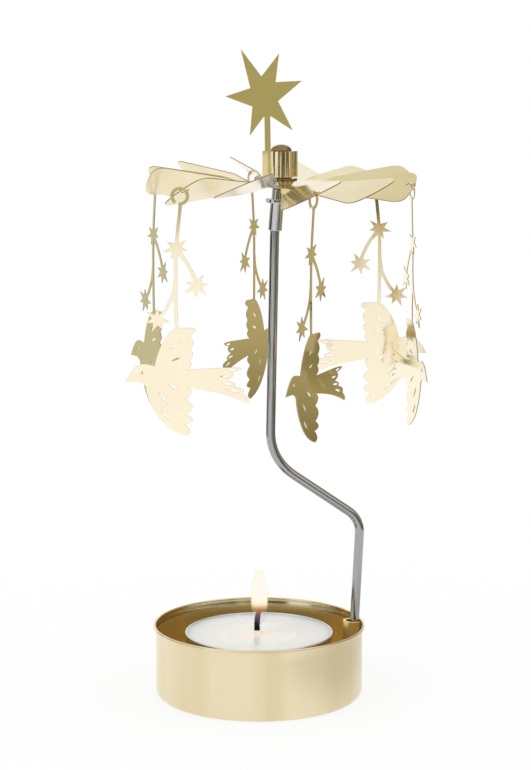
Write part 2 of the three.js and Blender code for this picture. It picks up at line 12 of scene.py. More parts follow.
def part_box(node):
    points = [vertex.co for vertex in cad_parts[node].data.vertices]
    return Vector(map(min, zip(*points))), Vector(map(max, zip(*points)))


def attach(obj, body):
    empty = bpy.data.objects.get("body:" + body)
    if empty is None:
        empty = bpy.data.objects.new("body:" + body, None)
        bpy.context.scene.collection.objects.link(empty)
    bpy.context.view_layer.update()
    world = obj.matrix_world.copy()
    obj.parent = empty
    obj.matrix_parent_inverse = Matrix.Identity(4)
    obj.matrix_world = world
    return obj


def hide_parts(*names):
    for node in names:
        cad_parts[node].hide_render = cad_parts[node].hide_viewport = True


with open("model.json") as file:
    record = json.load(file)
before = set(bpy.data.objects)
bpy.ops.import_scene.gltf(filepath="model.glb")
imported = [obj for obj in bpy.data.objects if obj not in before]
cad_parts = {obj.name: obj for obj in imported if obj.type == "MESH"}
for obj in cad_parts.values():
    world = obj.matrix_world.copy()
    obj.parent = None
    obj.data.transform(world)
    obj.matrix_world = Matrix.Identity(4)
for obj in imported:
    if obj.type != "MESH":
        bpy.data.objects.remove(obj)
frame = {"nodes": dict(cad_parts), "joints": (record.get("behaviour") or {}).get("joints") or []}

bl_info = {
    "name": "Candle Carousel",
    "version": (1, 0, 0),
    "blender": (4, 5, 0),
    "location": "3D View > Sidebar > Carousel",
    "description": "Dresses the packed candle carousel: dish, tealight, rod, rotor, star and hanging birds",
    "category": "Add Mesh",
}

MM = 0.001
FINE_GAP = 0.05 * MM
WELD = 0.001 * MM
UP = Vector((0, 0, 1))
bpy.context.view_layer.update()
JOINTS = {joint["name"]: joint for joint in frame["joints"]}
DISH_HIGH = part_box("dish")[1]
CUP_LOW, CUP_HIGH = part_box("tealight_cup")
WAX_LOW, WAX_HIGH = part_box("wax")
WICK_LOW, WICK_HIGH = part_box("wick")
WICK_X = sum(corner.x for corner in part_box("wick_tab")) / 2
CAP_LOW, CAP_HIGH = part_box("hub_cap")
TOPPER_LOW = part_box("star_topper")[0].z
ROTOR_AXIS = Vector((*JOINTS["rotor_spin"]["pos_m"][:2], 0))
ON_AXIS = Matrix.Translation(ROTOR_AXIS)

# Facets round the pieces
CANDLE_SIDES = 128
HUB_SIDES = 96
FERRULE_SIDES = 64
FLAME_SIDES = 48
BAR_SIDES = 32
WICK_SIDES = 20

EVEN_STEP = 6 * MM  # between the points of a straight stretch of the rod
BLADE_STEP = 1.1 * MM  # between the cuts that let a blade twist
BLADE_CUTS = 7  # to each side of its middle line
BLADE_ROOT_SHARE = 0.82  # of the hub's radius
WICK_STRAIGHT_SHARE = 0.25  # of the wick's height over the wax
WICK_CORNER_SHARE = 0.67
SOFT_LIGHT = 0.62  # of the surroundings' white falls on the object
FLOOR_NEAR = 0.86  # of the floor's white close to the dish

# Sheets that cross differ a little in thickness, so that no two faces lie in one plane
HUB_THICKER = 1.04
STEM_THICKER = 1.06
LAYER_THINNER = 0.015


def linear(red, green, blue):
    """A colour as a paint chart gives it, 0 to 255, in the scene's linear light."""
    screen = [value / 255 for value in (red, green, blue)]
    return tuple(s / 12.92 if s <= 0.04045 else ((s + 0.055) / 1.055) ** 2.4 for s in screen)


def length(name, description, millimetres):
    size = millimetres * MM
    return FloatProperty(name=name, description=description, default=size, unit="LENGTH", precision=5)


def angle(name, description, degrees):
    turn = math.radians(degrees)
    return FloatProperty(name=name, description=description, default=turn, unit="ROTATION")


def count(name, description, default):
    return IntProperty(name=name, description=description, default=default, min=1)


def colour(name, description, *chart):
    tone = linear(*chart)
    return FloatVectorProperty(name=name, description=description, default=tone, subtype="COLOR", size=3)


class CarouselDish(PropertyGroup):
    """Sizes of the dish and of the rod socket in it."""

    wall: length("Wall", "Thickness of the dish's sheet", 0.3)
    flare: length("Flare", "How much wider the rim is than the foot", 0.31)
    lip: length("Lip", "Height over which the wall bends out to the rim", 3)
    corner: length("Corner", "Outer radius between the floor and the wall", 2)
    bead: length("Bead", "Radius of the rolled edge", 0.35)
    sides: count("Sides", "Facets round the dish", 160)
    socket_bore: length("Socket bore", "Radius inside the rod socket", 1.58)
    socket_wall: length("Socket wall", "Thickness of the rod socket's strap", 0.7)
    socket_set_in: length("Socket set in", "Middle of its bend, in from the wall", 2)
    socket_gap: length("Socket gap", "Between the strap's ends and the wall", 0.32)
    socket_below_rim: length("Socket below rim", "From the dish's rim to the socket's", 0.1)
    socket_angle: angle("Socket angle", "Direction of the socket from +X", 8)


class CarouselCandle(PropertyGroup):
    """Sizes of the tealight and its flame."""

    cup_wall: length("Cup wall", "Thickness of the aluminium cup", 0.25)
    cup_bead: length("Cup bead", "Radius of the cup's rolled edge", 0.3)
    bead_play: length("Bead play", "Between the wax and the cup's rolled edge", 0.25)
    wick_radius: length("Wick", "Radius of the wick", 0.8)
    wick_rise: length("Wick rise", "How far the burnt end stands over the solid's", 0.6)
    wick_lean: length("Wick lean", "How far the wick's end leans over", 1.2)
    flame_width: length("Flame width", "Widest part of the flame", 4.6)
    flame_start: length("Flame start", "Foot of the flame, above the wax", 1.3)
    flame_tip: length("Flame tip", "Tip of the flame, above the wax", 16.6)


class CarouselRod(PropertyGroup):
    """Sizes of the rod, the ferrule and the needle."""

    radius: length("Radius", "Radius of the rod", 1.18)
    foot_inset: length("Foot inset", "Between the foot and the dish's wall", 1)
    foot_height: length("Foot height", "Height of the rod's lower end", 0.85)
    low_elbow_height: length("Low elbow height", "Corner of the lower bend", 45.2)
    low_elbow_out: length("Low elbow out", "How far the lower leg leans out", 2.24)
    low_elbow_reach: length("Low elbow reach", "From the corner to the bend's start", 4)
    high_elbow_height: length("High elbow height", "Corner of the upper bend", 61.5)
    high_elbow_past: length("High elbow past", "How far it lies past the rotor's axis", 2.81)
    high_elbow_reach: length("High elbow reach", "From the corner to the bend's start", 7.6)
    neck_past: length("Neck past", "Where the rod turns towards the needle's tip", 1.69)
    neck_below: length("Neck below", "From the sleeve down to that turn", 1.3)
    sleeve: length("Sleeve", "Length of the ferrule's sleeve", 6.9)
    sleeve_radius: length("Sleeve radius", "Outside of the sleeve", 1.72)
    sleeve_cap: length("Sleeve cap", "Metal over the rod's end", 1.2)
    collar: length("Collar", "Thickness of the ferrule's collar", 0.9)
    collar_radius: length("Collar radius", "Radius of the collar", 2.9)
    shoulder: length("Shoulder", "Length of the part over the collar", 2.6)
    shoulder_radius: length("Shoulder radius", "Radius over the collar", 1.5)
    nose: length("Nose", "Length of the ferrule's thin end", 2.8)
    nose_radius: length("Nose radius", "Radius of the thin end", 1.15)
    needle_length: length("Needle", "Needle above the ferrule", 7.7)
    needle_point: length("Needle point", "Length of the sharpened end", 2.4)
    needle_set_in: length("Needle set in", "Needle inside the ferrule", 3.7)
    needle_radius: length("Needle radius", "Radius of the needle", 0.5)
    seat_gap: length("Seat gap", "Between the tip and the cap", 0.3)


class CarouselRotor(PropertyGroup):
    """Sizes of the bladed sheet."""

    sheet: length("Sheet", "Thickness of the sheet", 0.25)
    radius: length("Radius", "Radius of the sheet", 33.9)
    hub_radius: length("Hub radius", "Where the slits between the blades end", 7)
    plate_height: length("Plate height", "Middle of the sheet at the hub", 131.1)
    blades: count("Blades", "Number of blades", 12)
    slit: length("Slit", "Width of the slits", 0.4)
    corner: length("Corner", "How far from a blade's corner its bend starts", 3)
    twist_start: length("Twist start", "Where the blades begin to twist", 6.4)
    twist_end: length("Twist end", "Where the twist is complete", 15)
    first_blade: angle("First blade", "Direction of the first blade from -Y", 12.8)
    hook_hole: length("Hook hole", "Radius of the holes for the hooks", 1.05)


class CarouselTopper(PropertyGroup):
    """Sizes of the hub cap and of the star on it."""

    cap_bore: length("Cap bore", "Radius inside the hub cap", 2.3)
    cap_wall: length("Cap wall", "Thickness of the hub cap", 0.3)
    dome: length("Dome", "Height of the cap's domed end", 1.5)
    flange: length("Flange", "Radius of the cap's flange", 4)
    flange_wall: length("Flange wall", "Thickness of the flange", 0.75)
    boss: length("Boss", "Radius of the step under the flange", 3.15)
    boss_height: length("Boss height", "Height of that step", 0.6)
    sheet: length("Sheet", "Thickness of the star's sheet", 0.25)
    fit_gap: length("Fit gap", "Between the cap and the strip", 0.2)
    strip_height: length("Strip", "Height of the strip round the cap", 6.4)
    strip_above_flange: length("Strip above flange", "Gap under the strip", 0.3)
    strip_left: length("Strip left", "The strip's left end, from the axis", 4.7)
    strip_right: length("Strip right", "The strip's right end, from the axis", 4.05)
    strip_bend: length("Strip bend", "Radius where the strip turns round the cap", 0.7)
    strap_height: length("Strap", "Height of the strap behind the cap", 2.2)
    star_width: length("Star width", "Width of the star", 19.1)
    star_height: length("Star height", "Height of the star", 21.5)
    star_left: length("Star left", "The star's left point, from the axis", 13.95)
    star_rise: length("Star rise", "From the strip up to the star's lowest point", 3.75)
    stem_width: length("Stem", "Width of the star's stem", 1.45)
    stem_left: length("Stem left", "Middle of the stem's foot, from the axis", 3.36)


class CarouselPendant(PropertyGroup):
    """Sizes of the hanging birds."""

    sheet: length("Sheet", "Thickness of the sheet", 0.25)
    hook_bore: length("Hook bore", "Radius inside the hook", 1.45)
    hook_width: length("Hook width", "Width of the hook's ring", 0.83)
    stem_length: length("Stem", "From the hook's middle to the wing", 32.4)
    stem_width: length("Stem width", "Width of the stem and the twigs", 0.85)
    star_radius: length("Star", "Radius of the small stars", 3.15)
    star_notch: length("Star notch", "Radius between their tips", 1.35)
    bird_width: length("Bird width", "From the tail to the beak", 30.4)
    bird_height: length("Bird height", "From wing to wing", 26.6)
    bird_forward: length("Bird forward", "The beak, from below the hook", 13.5)
    wing_over: length("Wing over stem", "How far the wing covers the stem", 0.4)
    slot_width: length("Slot width", "Width of the cut feathers", 0.5)
    eye: length("Eye", "Radius of the eye", 0.4)


class CarouselFinish(PropertyGroup):
    """Colours of the finishes."""

    dish: colour("Dish brass", "Outside of the dish", 237, 223, 187)
    # Painted light: the lining's deeper gold stands in for the warm light bounced round inside the dish.
    inside_bounce_gold: colour("Dish inside", "The dish's deeper gold inside", 254, 228, 154)
    rotor: colour("Rotor brass", "The bladed sheet", 244, 231, 196)
    cap: colour("Cap brass", "The drawn hub cap", 148, 120, 86)
    boss: colour("Boss brass", "The step under the cap's flange", 214, 202, 150)
    topper: colour("Topper brass", "The star and its strip", 240, 226, 186)
    pendant: colour("Pendant brass", "The hanging birds", 255, 244, 216)
    cut: colour("Cut edge", "Etched edge of the sheets", 196, 178, 128)
    steel: colour("Steel", "The rod's grey steel", 176, 176, 178)
    bright_steel: colour("Bright steel", "The turned ferrule", 206, 207, 209)
    foil: colour("Foil", "The tealight's aluminium", 232, 232, 232)
    wax: colour("Wax", "Paraffin", 247, 246, 241)
    char: colour("Char", "Burnt wick", 12, 8, 7)
    ember: colour("Ember", "Glowing end of the wick", 206, 108, 46)


class CarouselStage(PropertyGroup):
    """Camera, floor and light."""

    camera_back: length("Camera distance", "From the origin to the camera, along -Y", 634.5)
    camera_right: length("Camera right", "Camera's offset along +X", 1.667)
    camera_height: length("Camera height", "Height of the lens", 188.3)
    camera_tilt: angle("Camera tilt", "Downward tilt", 9.635)
    lens: FloatProperty(name="Lens", description="Focal length in mm", default=119.18)
    floor_reach: length("Floor", "Half the floor's width", 4000)


PREFIX = "carousel_"
SETTINGS = {
    "dish": CarouselDish,
    "candle": CarouselCandle,
    "rod": CarouselRod,
    "rotor": CarouselRotor,
    "topper": CarouselTopper,
    "pendant": CarouselPendant,
    "finish": CarouselFinish,
    "stage": CarouselStage,
}


def settings(name):
    return getattr(bpy.context.scene, PREFIX + name)


# Shader sums


class Wire:
    """A shader socket that can stand in a Python sum."""

    def __init__(self, recipe, socket):
        self.recipe = recipe
        self.socket = socket

    def __add__(self, other):
        return self.recipe.maths("ADD", self, other)

    __radd__ = __add__

    def __mul__(self, other):
        return self.recipe.maths("MULTIPLY", self, other)

    def __rsub__(self, other):
        return self.recipe.maths("SUBTRACT", other, self)

    def between(self, low, high):
        """0 at low, 1 at high and beyond."""
        ends = {"Value": self, "From Min": low, "From Max": high}
        return self.recipe.node("ShaderNodeMapRange", ends, interpolation_type="SMOOTHSTEP")


class Recipe:
    """The node tree of a material or of the world."""

    def __init__(self, owner):
        self.owner = owner
        owner.use_nodes = True
        self.tree = owner.node_tree
        self.tree.nodes.clear()

    def node(self, kind, sockets=None, output=0, **made_with):
        """Adds a node: its settings come first, then the values and links of its sockets."""
        node = self.tree.nodes.new(kind)
        for key, value in made_with.items():
            setattr(node, key, value)
        for key, value in (sockets or {}).items():
            if isinstance(value, Wire):
                self.tree.links.new(value.socket, node.inputs[key])
            else:
                node.inputs[key].default_value = value
        return Wire(self, node.outputs[output]) if len(node.outputs) else None

    def maths(self, operation, first, second):
        return self.node("ShaderNodeMath", {0: first, 1: second}, operation=operation)

    def place(self):
        return self.node("ShaderNodeTexCoord", output="Object")

    def away(self, place, middle=(0, 0, 0)):
        ends = {0: place, 1: middle}
        return self.node("ShaderNodeVectorMath", ends, "Value", operation="DISTANCE")

    def stretched(self, place, scale):
        return self.node("ShaderNodeMapping", {"Vector": place, "Scale": scale})

    def noise(self, place, scale, detail):
        return self.node("ShaderNodeTexNoise", {"Vector": place, "Scale": scale, "Detail": detail})

    def axis(self, place, name):
        return self.node("ShaderNodeSeparateXYZ", {"Vector": place}, name)

    def ray(self, kind):
        return self.node("ShaderNodeLightPath", output=f"Is {kind} Ray")

    def mix(self, factor, first, second):
        """A colour between two others."""
        ends = [value if isinstance(value, Wire) else plain(value) for value in (first, second)]
        return self.node("ShaderNodeMix", {0: factor, 6: ends[0], 7: ends[1]}, 2, data_type="RGBA")

    def ramp(self, value, stops):
        """Stops are positions from 0 to 1, with their tones."""
        ramp = self.node("ShaderNodeValToRGB", {0: value})
        elements = ramp.socket.node.color_ramp.elements
        while len(elements) < len(stops):
            elements.new(1)
        for element, (position, tone) in zip(elements, stops):
            element.position = position
            element.color = plain(tone)
        return ramp

    def bump(self, height, millimetres):
        return self.node("ShaderNodeBump", {"Height": height, "Distance": millimetres * MM})

    def glow(self, tone):
        return self.node("ShaderNodeEmission", {"Color": tone, "Strength": 1.0})

    def blend(self, share, first, second):
        return self.node("ShaderNodeMixShader", {0: share, 1: first, 2: second})

    def surface(self, shader):
        self.node("ShaderNodeOutputMaterial", {"Surface": shader})
        return self.owner

    def principled(self, sockets):
        return self.surface(self.node("ShaderNodeBsdfPrincipled", sockets))

    def metal(self, tone, roughness, normal, metallic=1.0):
        return self.principled(
            {"Base Color": tone, "Metallic": metallic, "Roughness": roughness, "Normal": normal}
        )


def plain(tone):
    return (*tone, 1)


def darker(tone, share):
    return [value * share for value in tone]


def new_recipe(name):
    return Recipe(bpy.data.materials.new(name))


def seen_directly(recipe):
    """1 for what the camera, a mirror or a glass sees, 0 for light on the object."""
    rays = [recipe.ray(kind) for kind in ("Camera", "Glossy", "Transmission")]
    return recipe.maths("MAXIMUM", recipe.maths("MAXIMUM", rays[0], rays[1]), rays[2])


# Finishes


def brass(name, tone, roughness, bands=0.3, lined=0.06, grain=(1, 1, 1), metallic=1.0):
    """Rolled and polished sheet: broad darker bands, faint rolling lines, and a slight wave in the sheet.
    Stretched up the dish's wall, the darker bands are painted reflection.
    """
    recipe = new_recipe(name)
    place = recipe.place()
    rolled = recipe.stretched(place, grain)
    clouds = recipe.noise(rolled, 70, 2)
    lines = recipe.noise(rolled, 1400, 2)
    swell = recipe.noise(rolled, 60, 1)
    specks = recipe.noise(place, 5200, 1).between(0.7, 0.82)
    shade = clouds.between(0.36, 0.66) * bands + lines.between(0.3, 0.75) * lined + specks * 0.15
    return recipe.metal(
        recipe.mix(shade, tone, [tone[0] * 0.8, tone[1] * 0.76, tone[2] * 0.66]),
        roughness + clouds * 0.04 + lines * 0.02 + specks * 0.1,
        recipe.bump(swell * 6 + lines * lined, 0.02),
        metallic,
    )


def cut_edge(name, tone):
    """The side of an etched sheet, pitted and duller than its face."""
    recipe = new_recipe(name)
    pits = recipe.noise(recipe.place(), 6000, 2)
    shade = recipe.mix(pits, tone, darker(tone, 0.6))
    return recipe.metal(shade, 0.35 + pits * 0.2, recipe.bump(pits, 0.02))


def steel(name, tone, roughness, along=(1, 1, 0.02)):
    """Drawn bar: fine lines along it and a little haze."""
    recipe = new_recipe(name)
    place = recipe.place()
    lines = recipe.noise(recipe.stretched(place, along), 6000, 2)
    haze = recipe.noise(place, 260, 3)
    shade = recipe.mix(haze * 0.3 + lines * 0.3, tone, darker(tone, 0.72))
    return recipe.metal(shade, roughness + haze * 0.05 + lines * 0.04, recipe.bump(lines, 0.004))


def foil(name, tone):
    """Thin drawn aluminium with small creases."""
    recipe = new_recipe(name)
    creases = recipe.noise(recipe.stretched(recipe.place(), (1, 1, 0.25)), 900, 3)
    shade = recipe.mix(creases * 0.4, tone, darker(tone, 0.8))
    return recipe.metal(shade, 0.24 + creases * 0.12, recipe.bump(creases, 0.08))


def paraffin(name, tone, wick_at, pool_radius):
    """White wax: a clear wet pool round the wick, a frosted rim, and the flame's warm light painted on
    round the wick.
    """
    recipe = new_recipe(name)
    place = recipe.place()
    away = recipe.away(place, wick_at)
    ripple = recipe.noise(place, 160, 2)
    frost = recipe.noise(place, 1400, 3)
    pool = 1 - (away + ripple * 0.002).between(pool_radius - MM, pool_radius + MM)
    # Painted light: near the wick the wax gets a warmer base colour and a faint warm glow, standing in for
    # the flame's light.
    glow = 1 - away.between(0, pool_radius * 0.6)
    shade = recipe.mix(frost * 0.5, tone, darker(tone, 0.95))
    return recipe.principled(
        {
            "Base Color": recipe.mix(glow * 0.35, shade, linear(255, 232, 208)),
            "Roughness": 0.48 - pool * 0.34 + frost * 0.1,
            "Subsurface Weight": 0.6,
            "Subsurface Radius": (0.006, 0.005, 0.004),
            "Subsurface Scale": 1.0,
            "Emission Color": recipe.mix(glow, (0, 0, 0), linear(255, 190, 130)),
            "Emission Strength": 0.12,
            "Normal": recipe.bump(frost * (1 - pool) + ripple * 0.5, 0.12),
        }
    )


def wick_cotton(name, char, ember, low, high):
    """Braided cotton: charred black, with a glowing end."""
    recipe = new_recipe(name)
    place = recipe.place()
    weave = {"Vector": place, "Scale": 900, "Distortion": 2.0}
    braid = recipe.node("ShaderNodeTexWave", weave, wave_type="BANDS", bands_direction="DIAGONAL")
    crust = recipe.noise(place, 3200, 3)
    burning = recipe.axis(place, "Z").between(low, high).between(0.5, 1.1)
    glow = burning * (0.4 + crust.between(0.3, 0.6) * 0.6)
    return recipe.principled(
        {
            "Base Color": recipe.mix(crust, char, darker(char, 2.2)),
            "Roughness": 0.85,
            "Specular IOR Level": 0.2,
            "Emission Color": recipe.mix(glow, (0, 0, 0), ember),
            "Emission Strength": 1.0,
            "Normal": recipe.bump(braid + crust, 0.12),
        }
    )


def flame_glow(name, tone, low, high, alpha):
    """Burning gas: bluish and clear at its foot, orange over the wick, pale and bright above."""
    recipe = new_recipe(name)
    height = recipe.axis(recipe.place(), "Z").between(low, high)
    foot = [(0, (160, 160, 176)), (0.14, (206, 200, 200)), (0.26, (250, 200, 140)), (0.36, (255, 240, 206))]
    stops = [(position, linear(*chart)) for position, chart in foot] + [(0.56, tone), (1, tone)]
    return recipe.principled(
        {
            "Base Color": plain((0, 0, 0)),
            "Roughness": 1.0,
            "Specular IOR Level": 0.0,
            "Emission Color": recipe.ramp(height, stops),
            "Emission Strength": 1.0,
            "Alpha": (0.1 + height.between(0.19, 0.46) * 0.9) * alpha,
        }
    )


# Shapes


def shares(steps):
    """Even steps from 0 to 1."""
    return [step / steps for step in range(steps + 1)]


def bend(start, corner, end, steps):
    """A curve that leaves one line and joins the next."""
    return [start.lerp(corner, t).lerp(corner.lerp(end, t), t) for t in shares(steps)]


def softened(corners, reach):
    """The same path with its corners rounded; reach is how far from a corner the bend starts."""
    points = [Vector(corner) for corner in corners]
    path = [points[0]]
    for before, corner, after in zip(points, points[1:], points[2:]):
        arriving = before - corner
        leaving = after - corner
        trim = min(reach, arriving.length * 0.49, leaving.length * 0.49)
        start = corner + arriving.normalized() * trim
        path += bend(start, corner, corner + leaving.normalized() * trim, 5)
    return path + [points[-1]]


def arc(middle, radius, start, end, steps):
    """Points on an arc, in degrees."""
    turns = [math.radians(start + (end - start) * step / steps) for step in range(steps + 1)]
    return [(middle[0] + radius * math.cos(t), middle[1] + radius * math.sin(t)) for t in turns]


def polar(radius, turn):
    return Vector((radius * math.cos(turn), radius * math.sin(turn)))


def turned(before, after):
    return before.rotation_difference(after).to_matrix().to_4x4()


def only(kind, made):
    """The corners, edges or faces among what an operator made."""
    return [item for item in made["geom"] if isinstance(item, kind)]


def moved(mesh, matrix):
    bmesh.ops.transform(mesh, matrix=matrix, verts=mesh.verts)
    return mesh


def joined(mesh, part):
    """Adds a second mesh to the first."""
    data = bpy.data.meshes.new("part")
    part.to_mesh(data)
    part.free()
    mesh.from_mesh(data)
    bpy.data.meshes.remove(data)


def spun(profile, sides):
    """A closed surface of revolution about Z. The profile holds radii and heights."""
    mesh = bmesh.new()
    points = [mesh.verts.new((point[0], 0, point[1])) for point in profile]
    line = points + [mesh.edges.new(pair) for pair in zip(points, points[1:])]
    round_z = {"cent": (0, 0, 0), "axis": UP, "angle": math.tau}
    bmesh.ops.spin(mesh, geom=line, steps=sides, use_merge=True, **round_z)
    bmesh.ops.remove_doubles(mesh, verts=mesh.verts, dist=WELD)
    bmesh.ops.recalc_face_normals(mesh, faces=mesh.faces)
    return mesh


def tube(path, radius, sides, thin=None):
    """A round bar along a path, closed at both ends. thin scales its radius at each point."""
    mesh = bmesh.new()
    neighbours = zip([path[0]] + path[:-1], path[1:] + [path[-1]])
    towards = [(after - before).normalized() for before, after in neighbours]
    scale = thin or [1] * len(path)
    end = Matrix.Translation(path[0]) @ turned(UP, towards[0])
    bmesh.ops.create_circle(mesh, cap_ends=True, segments=sides, radius=radius * scale[0], matrix=end)
    ring = list(mesh.edges)
    for i in range(1, len(path)):
        made = bmesh.ops.extrude_edge_only(mesh, edges=ring)
        ring = only(BMEdge, made)
        swing = turned(towards[i - 1], towards[i]) @ Matrix.Scale(scale[i] / scale[i - 1], 4)
        place = Matrix.Translation(path[i]) @ swing @ Matrix.Translation(-path[i - 1])
        bmesh.ops.transform(mesh, matrix=place, verts=only(BMVert, made))
    bmesh.ops.contextual_create(mesh, geom=ring)
    bmesh.ops.recalc_face_normals(mesh, faces=mesh.faces)
    return mesh


def filled(mesh, loops):
    """Fills a loop of flat points, less the loops inside it, and returns the new faces."""
    edges = []
    for loop in loops:
        corners = [mesh.verts.new((point[0], 0, point[1])) for point in loop]
        edges += [mesh.edges.new(pair) for pair in zip(corners, corners[1:] + corners[:1])]
    return only(BMFace, bmesh.ops.triangle_fill(mesh, use_beauty=True, use_dissolve=False, edges=edges))


def raised(mesh, made, way):
    """Moves the corners that an extrusion made."""
    corners = only(BMVert, made)
    bmesh.ops.translate(mesh, verts=corners, vec=way)
    return corners


def cut_sheet(mesh, loops, thickness):
    """Adds a sheet that stands in the XZ plane, its faces half a thickness to each side."""
    faces = filled(mesh, loops)
    back = raised(mesh, bmesh.ops.extrude_face_region(mesh, geom=faces), (0, thickness, 0))
    whole = {corner for face in faces for corner in face.verts} | set(back)
    bmesh.ops.translate(mesh, verts=list(whole), vec=(0, -thickness / 2, 0))


def standing_strip(path, low, high):
    """A strip on edge that follows a path seen from above; its thickness comes later."""
    mesh = bmesh.new()
    foot = [mesh.verts.new((point[0], point[1], low)) for point in path]
    edges = [mesh.edges.new(pair) for pair in zip(foot, foot[1:])]
    raised(mesh, bmesh.ops.extrude_edge_only(mesh, edges=edges), (0, 0, high - low))
    return mesh


def side_faces(mesh):
    """Gives the cut sides of a sheet in the XZ plane the second material."""
    for face in mesh.faces:
        if abs(face.normal.y) < 0.5:
            face.material_index = 1


def linked(name, data):
    thing = bpy.data.objects.new(name, data)
    bpy.context.scene.collection.objects.link(thing)
    return thing


def solid(name, mesh, finishes):
    data = bpy.data.meshes.new(name)
    mesh.to_mesh(data)
    mesh.free()
    for finish in finishes:
        data.materials.append(finish)
    return linked(name, data)


def keep(mesh, name, body, finishes, stands_for=(), crease=35):
    """Makes a mesh a piece of the object that rides on its body."""
    piece = solid(name, mesh, finishes)
    piece.data.polygons.foreach_set("use_smooth", [True] * len(piece.data.polygons))
    piece.data.set_sharp_from_angle(angle=math.radians(crease))
    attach(piece, body)
    if stands_for:
        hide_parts(*stands_for)
    return piece


def thickened(piece, thickness):
    modifier = piece.modifiers.new("Sheet", "SOLIDIFY")
    modifier.thickness = thickness
    modifier.offset = 0
    return piece


def bevelled(piece, width):
    modifier = piece.modifiers.new("Edges", "BEVEL")
    modifier.width = width
    modifier.segments = 2
    modifier.limit_method = "ANGLE"
    modifier.angle_limit = math.radians(50)
    modifier.harden_normals = True


# Outlines, as shares of their own sizes

STAR_POINT_SHARES = [
    (0.201, 1), (0.471, 0.684), (0.7, 0.946), (0.656, 0.618), (1, 0.634), (0.688, 0.399), (0.881, 0.06),
    (0.594, 0.224), (0.5, 0.217), (0.32, 0), (0.354, 0.335), (0, 0.453), (0.327, 0.549),
]
STAR_PLACE_SHARES = [(0.028, -0.39), (-0.122, -0.67), (0.172, -0.925)]
STEM_PATH_SHARES = [(-0.005, -0.06), (0.028, -0.39), (0.034, -0.7), (0.03, -1.02)]
TAIL_TWIG_SHARES = [(0.028, -0.39), (-0.05, -0.5), (-0.1, -0.6), (-0.122, -0.67)]
BEAK_TWIG_SHARES = [(0.034, -0.62), (0.055, -0.74), (0.11, -0.85), (0.172, -0.925)]
SMALL_STAR_TIP_SHARES = [1, 0.85, 1.08, 0.95, 1.05, 0.9]
TWIG_DEGREES = [88, 70, 140]
HOOK_END_DEGREES = (-56, 280)
BIRD_START_SHARE = (1, 0.498)
BIRD_OUTLINE_SHARES = [
    [(0.93, 0.668), (0.857, 0.667)], [(0.8, 0.665), (0.765, 0.645)], [(0.725, 0.87), (0.626, 0.973)],
    [(0.6, 1), (0.56, 1)], [(0.455, 1)], [(0.405, 0.965), (0.487, 0.925)],
    [(0.42, 0.86), (0.478, 0.8)], [(0.43, 0.745), (0.487, 0.7)], [(0.44, 0.65), (0.508, 0.612)],
    [(0.194, 0.632)], [(-0.04, 0.64), (0.15, 0.584)], [(0.1, 0.556), (0.182, 0.511)],
    [(0.08, 0.48), (0.132, 0.455)], [(0.02, 0.432), (0.055, 0.385)], [(-0.01, 0.33), (0.02, 0.3)],
    [(0.2, 0.4), (0.502, 0.446)], [(0.43, 0.4), (0.518, 0.338)], [(0.41, 0.26), (0.514, 0.196)],
    [(0.4, 0.13), (0.529, 0.107)], [(0.44, 0.03), (0.52, 0)], [(0.65, 0.04), (0.733, 0.17)],
    [(0.82, 0.31), (0.834, 0.453)], [(0.85, 0.495), (0.903, 0.502)],
]
SLOT_END_SHARES = [
    [(0.564, 0.858), (0.63, 0.808)], [(0.556, 0.728), (0.63, 0.694)], [(0.66, 0.492), (0.58, 0.427)],
    [(0.73, 0.405), (0.664, 0.295)], [(0.714, 0.235), (0.644, 0.14)], [(0.178, 0.605), (0.1, 0.612)],
    [(0.245, 0.549), (0.163, 0.549)], [(0.224, 0.4846), (0.128, 0.472)], [(0.18, 0.43), (0.085, 0.398)],
]
EYE_SHARE = (0.869, 0.585)

# Half the flame's width at heights from its foot to its tip
FLAME_SHARES = [
    (0, 0), (0.004, 0.2), (0.03, 0.38), (0.103, 0.69), (0.207, 0.84), (0.345, 0.98), (0.476, 1),
    (0.607, 0.943), (0.738, 0.838), (0.869, 0.638), (0.945, 0.4), (0.985, 0.2), (1, 0),
]

# Name, size against the whole flame, how solid it looks, and tone
FLAME_LAYERS = [
    ("flame_shell", 1, 0.16, (250, 234, 160)), ("flame_mantle", 0.94, 0.2, (255, 250, 226)),
    ("flame_core", 0.86, 0.97, (255, 255, 255)),
]

# Each blade is bent by hand, so its pitch and its lift differ a little from the next one's.
BLADE_PITCH_DEGREES = [24, 18, 21, 15, 16, 27, 37, 37, 33, 29, 28, 23]
BLADE_LIFT_DEGREES = [0.6, 1.5, 0.6, 3.5, 0.6, 0, -0.3, -1, 0, 3.5, 0.6, 5.5]


def ribbon(points, width, steps=8):
    """The outline of an even strip along a smooth curve through the points."""
    knots = [Vector(point) for point in points]
    knots = [2 * knots[0] - knots[1], *knots, 2 * knots[-1] - knots[-2]]
    left = []
    right = []
    for a, b, c, d in zip(knots, knots[1:], knots[2:], knots[3:]):
        first = c - a
        second = 2 * a - 5 * b + 4 * c - d
        third = 3 * b - a - 3 * c + d
        for step in range(steps + (c == knots[-2])):
            t = step / steps
            at = ((2 * b) + first * t + second * t * t + third * t**3) / 2
            way = (first + second * 2 * t + third * 3 * t * t) / 2
            side = Vector((-way.y, way.x)).normalized() * width / 2
            left.append(at + side)
            right.append(at - side)
    return left + right[::-1]


# Pieces


class CAROUSEL_OT_camera(Operator):
    """Set up the camera as the photograph was taken"""

    bl_idname = "carousel.camera"
    bl_label = "Camera"

    def execute(self, context):
        stage = settings("stage")
        data = bpy.data.cameras.new("camera")
        data.lens = stage.lens
        camera = linked("camera", data)
        camera.location = (stage.camera_right, -stage.camera_back, stage.camera_height)
        camera.rotation_euler = (math.pi / 2 - stage.camera_tilt, 0, 0)
        context.scene.camera = camera
        return {"FINISHED"}


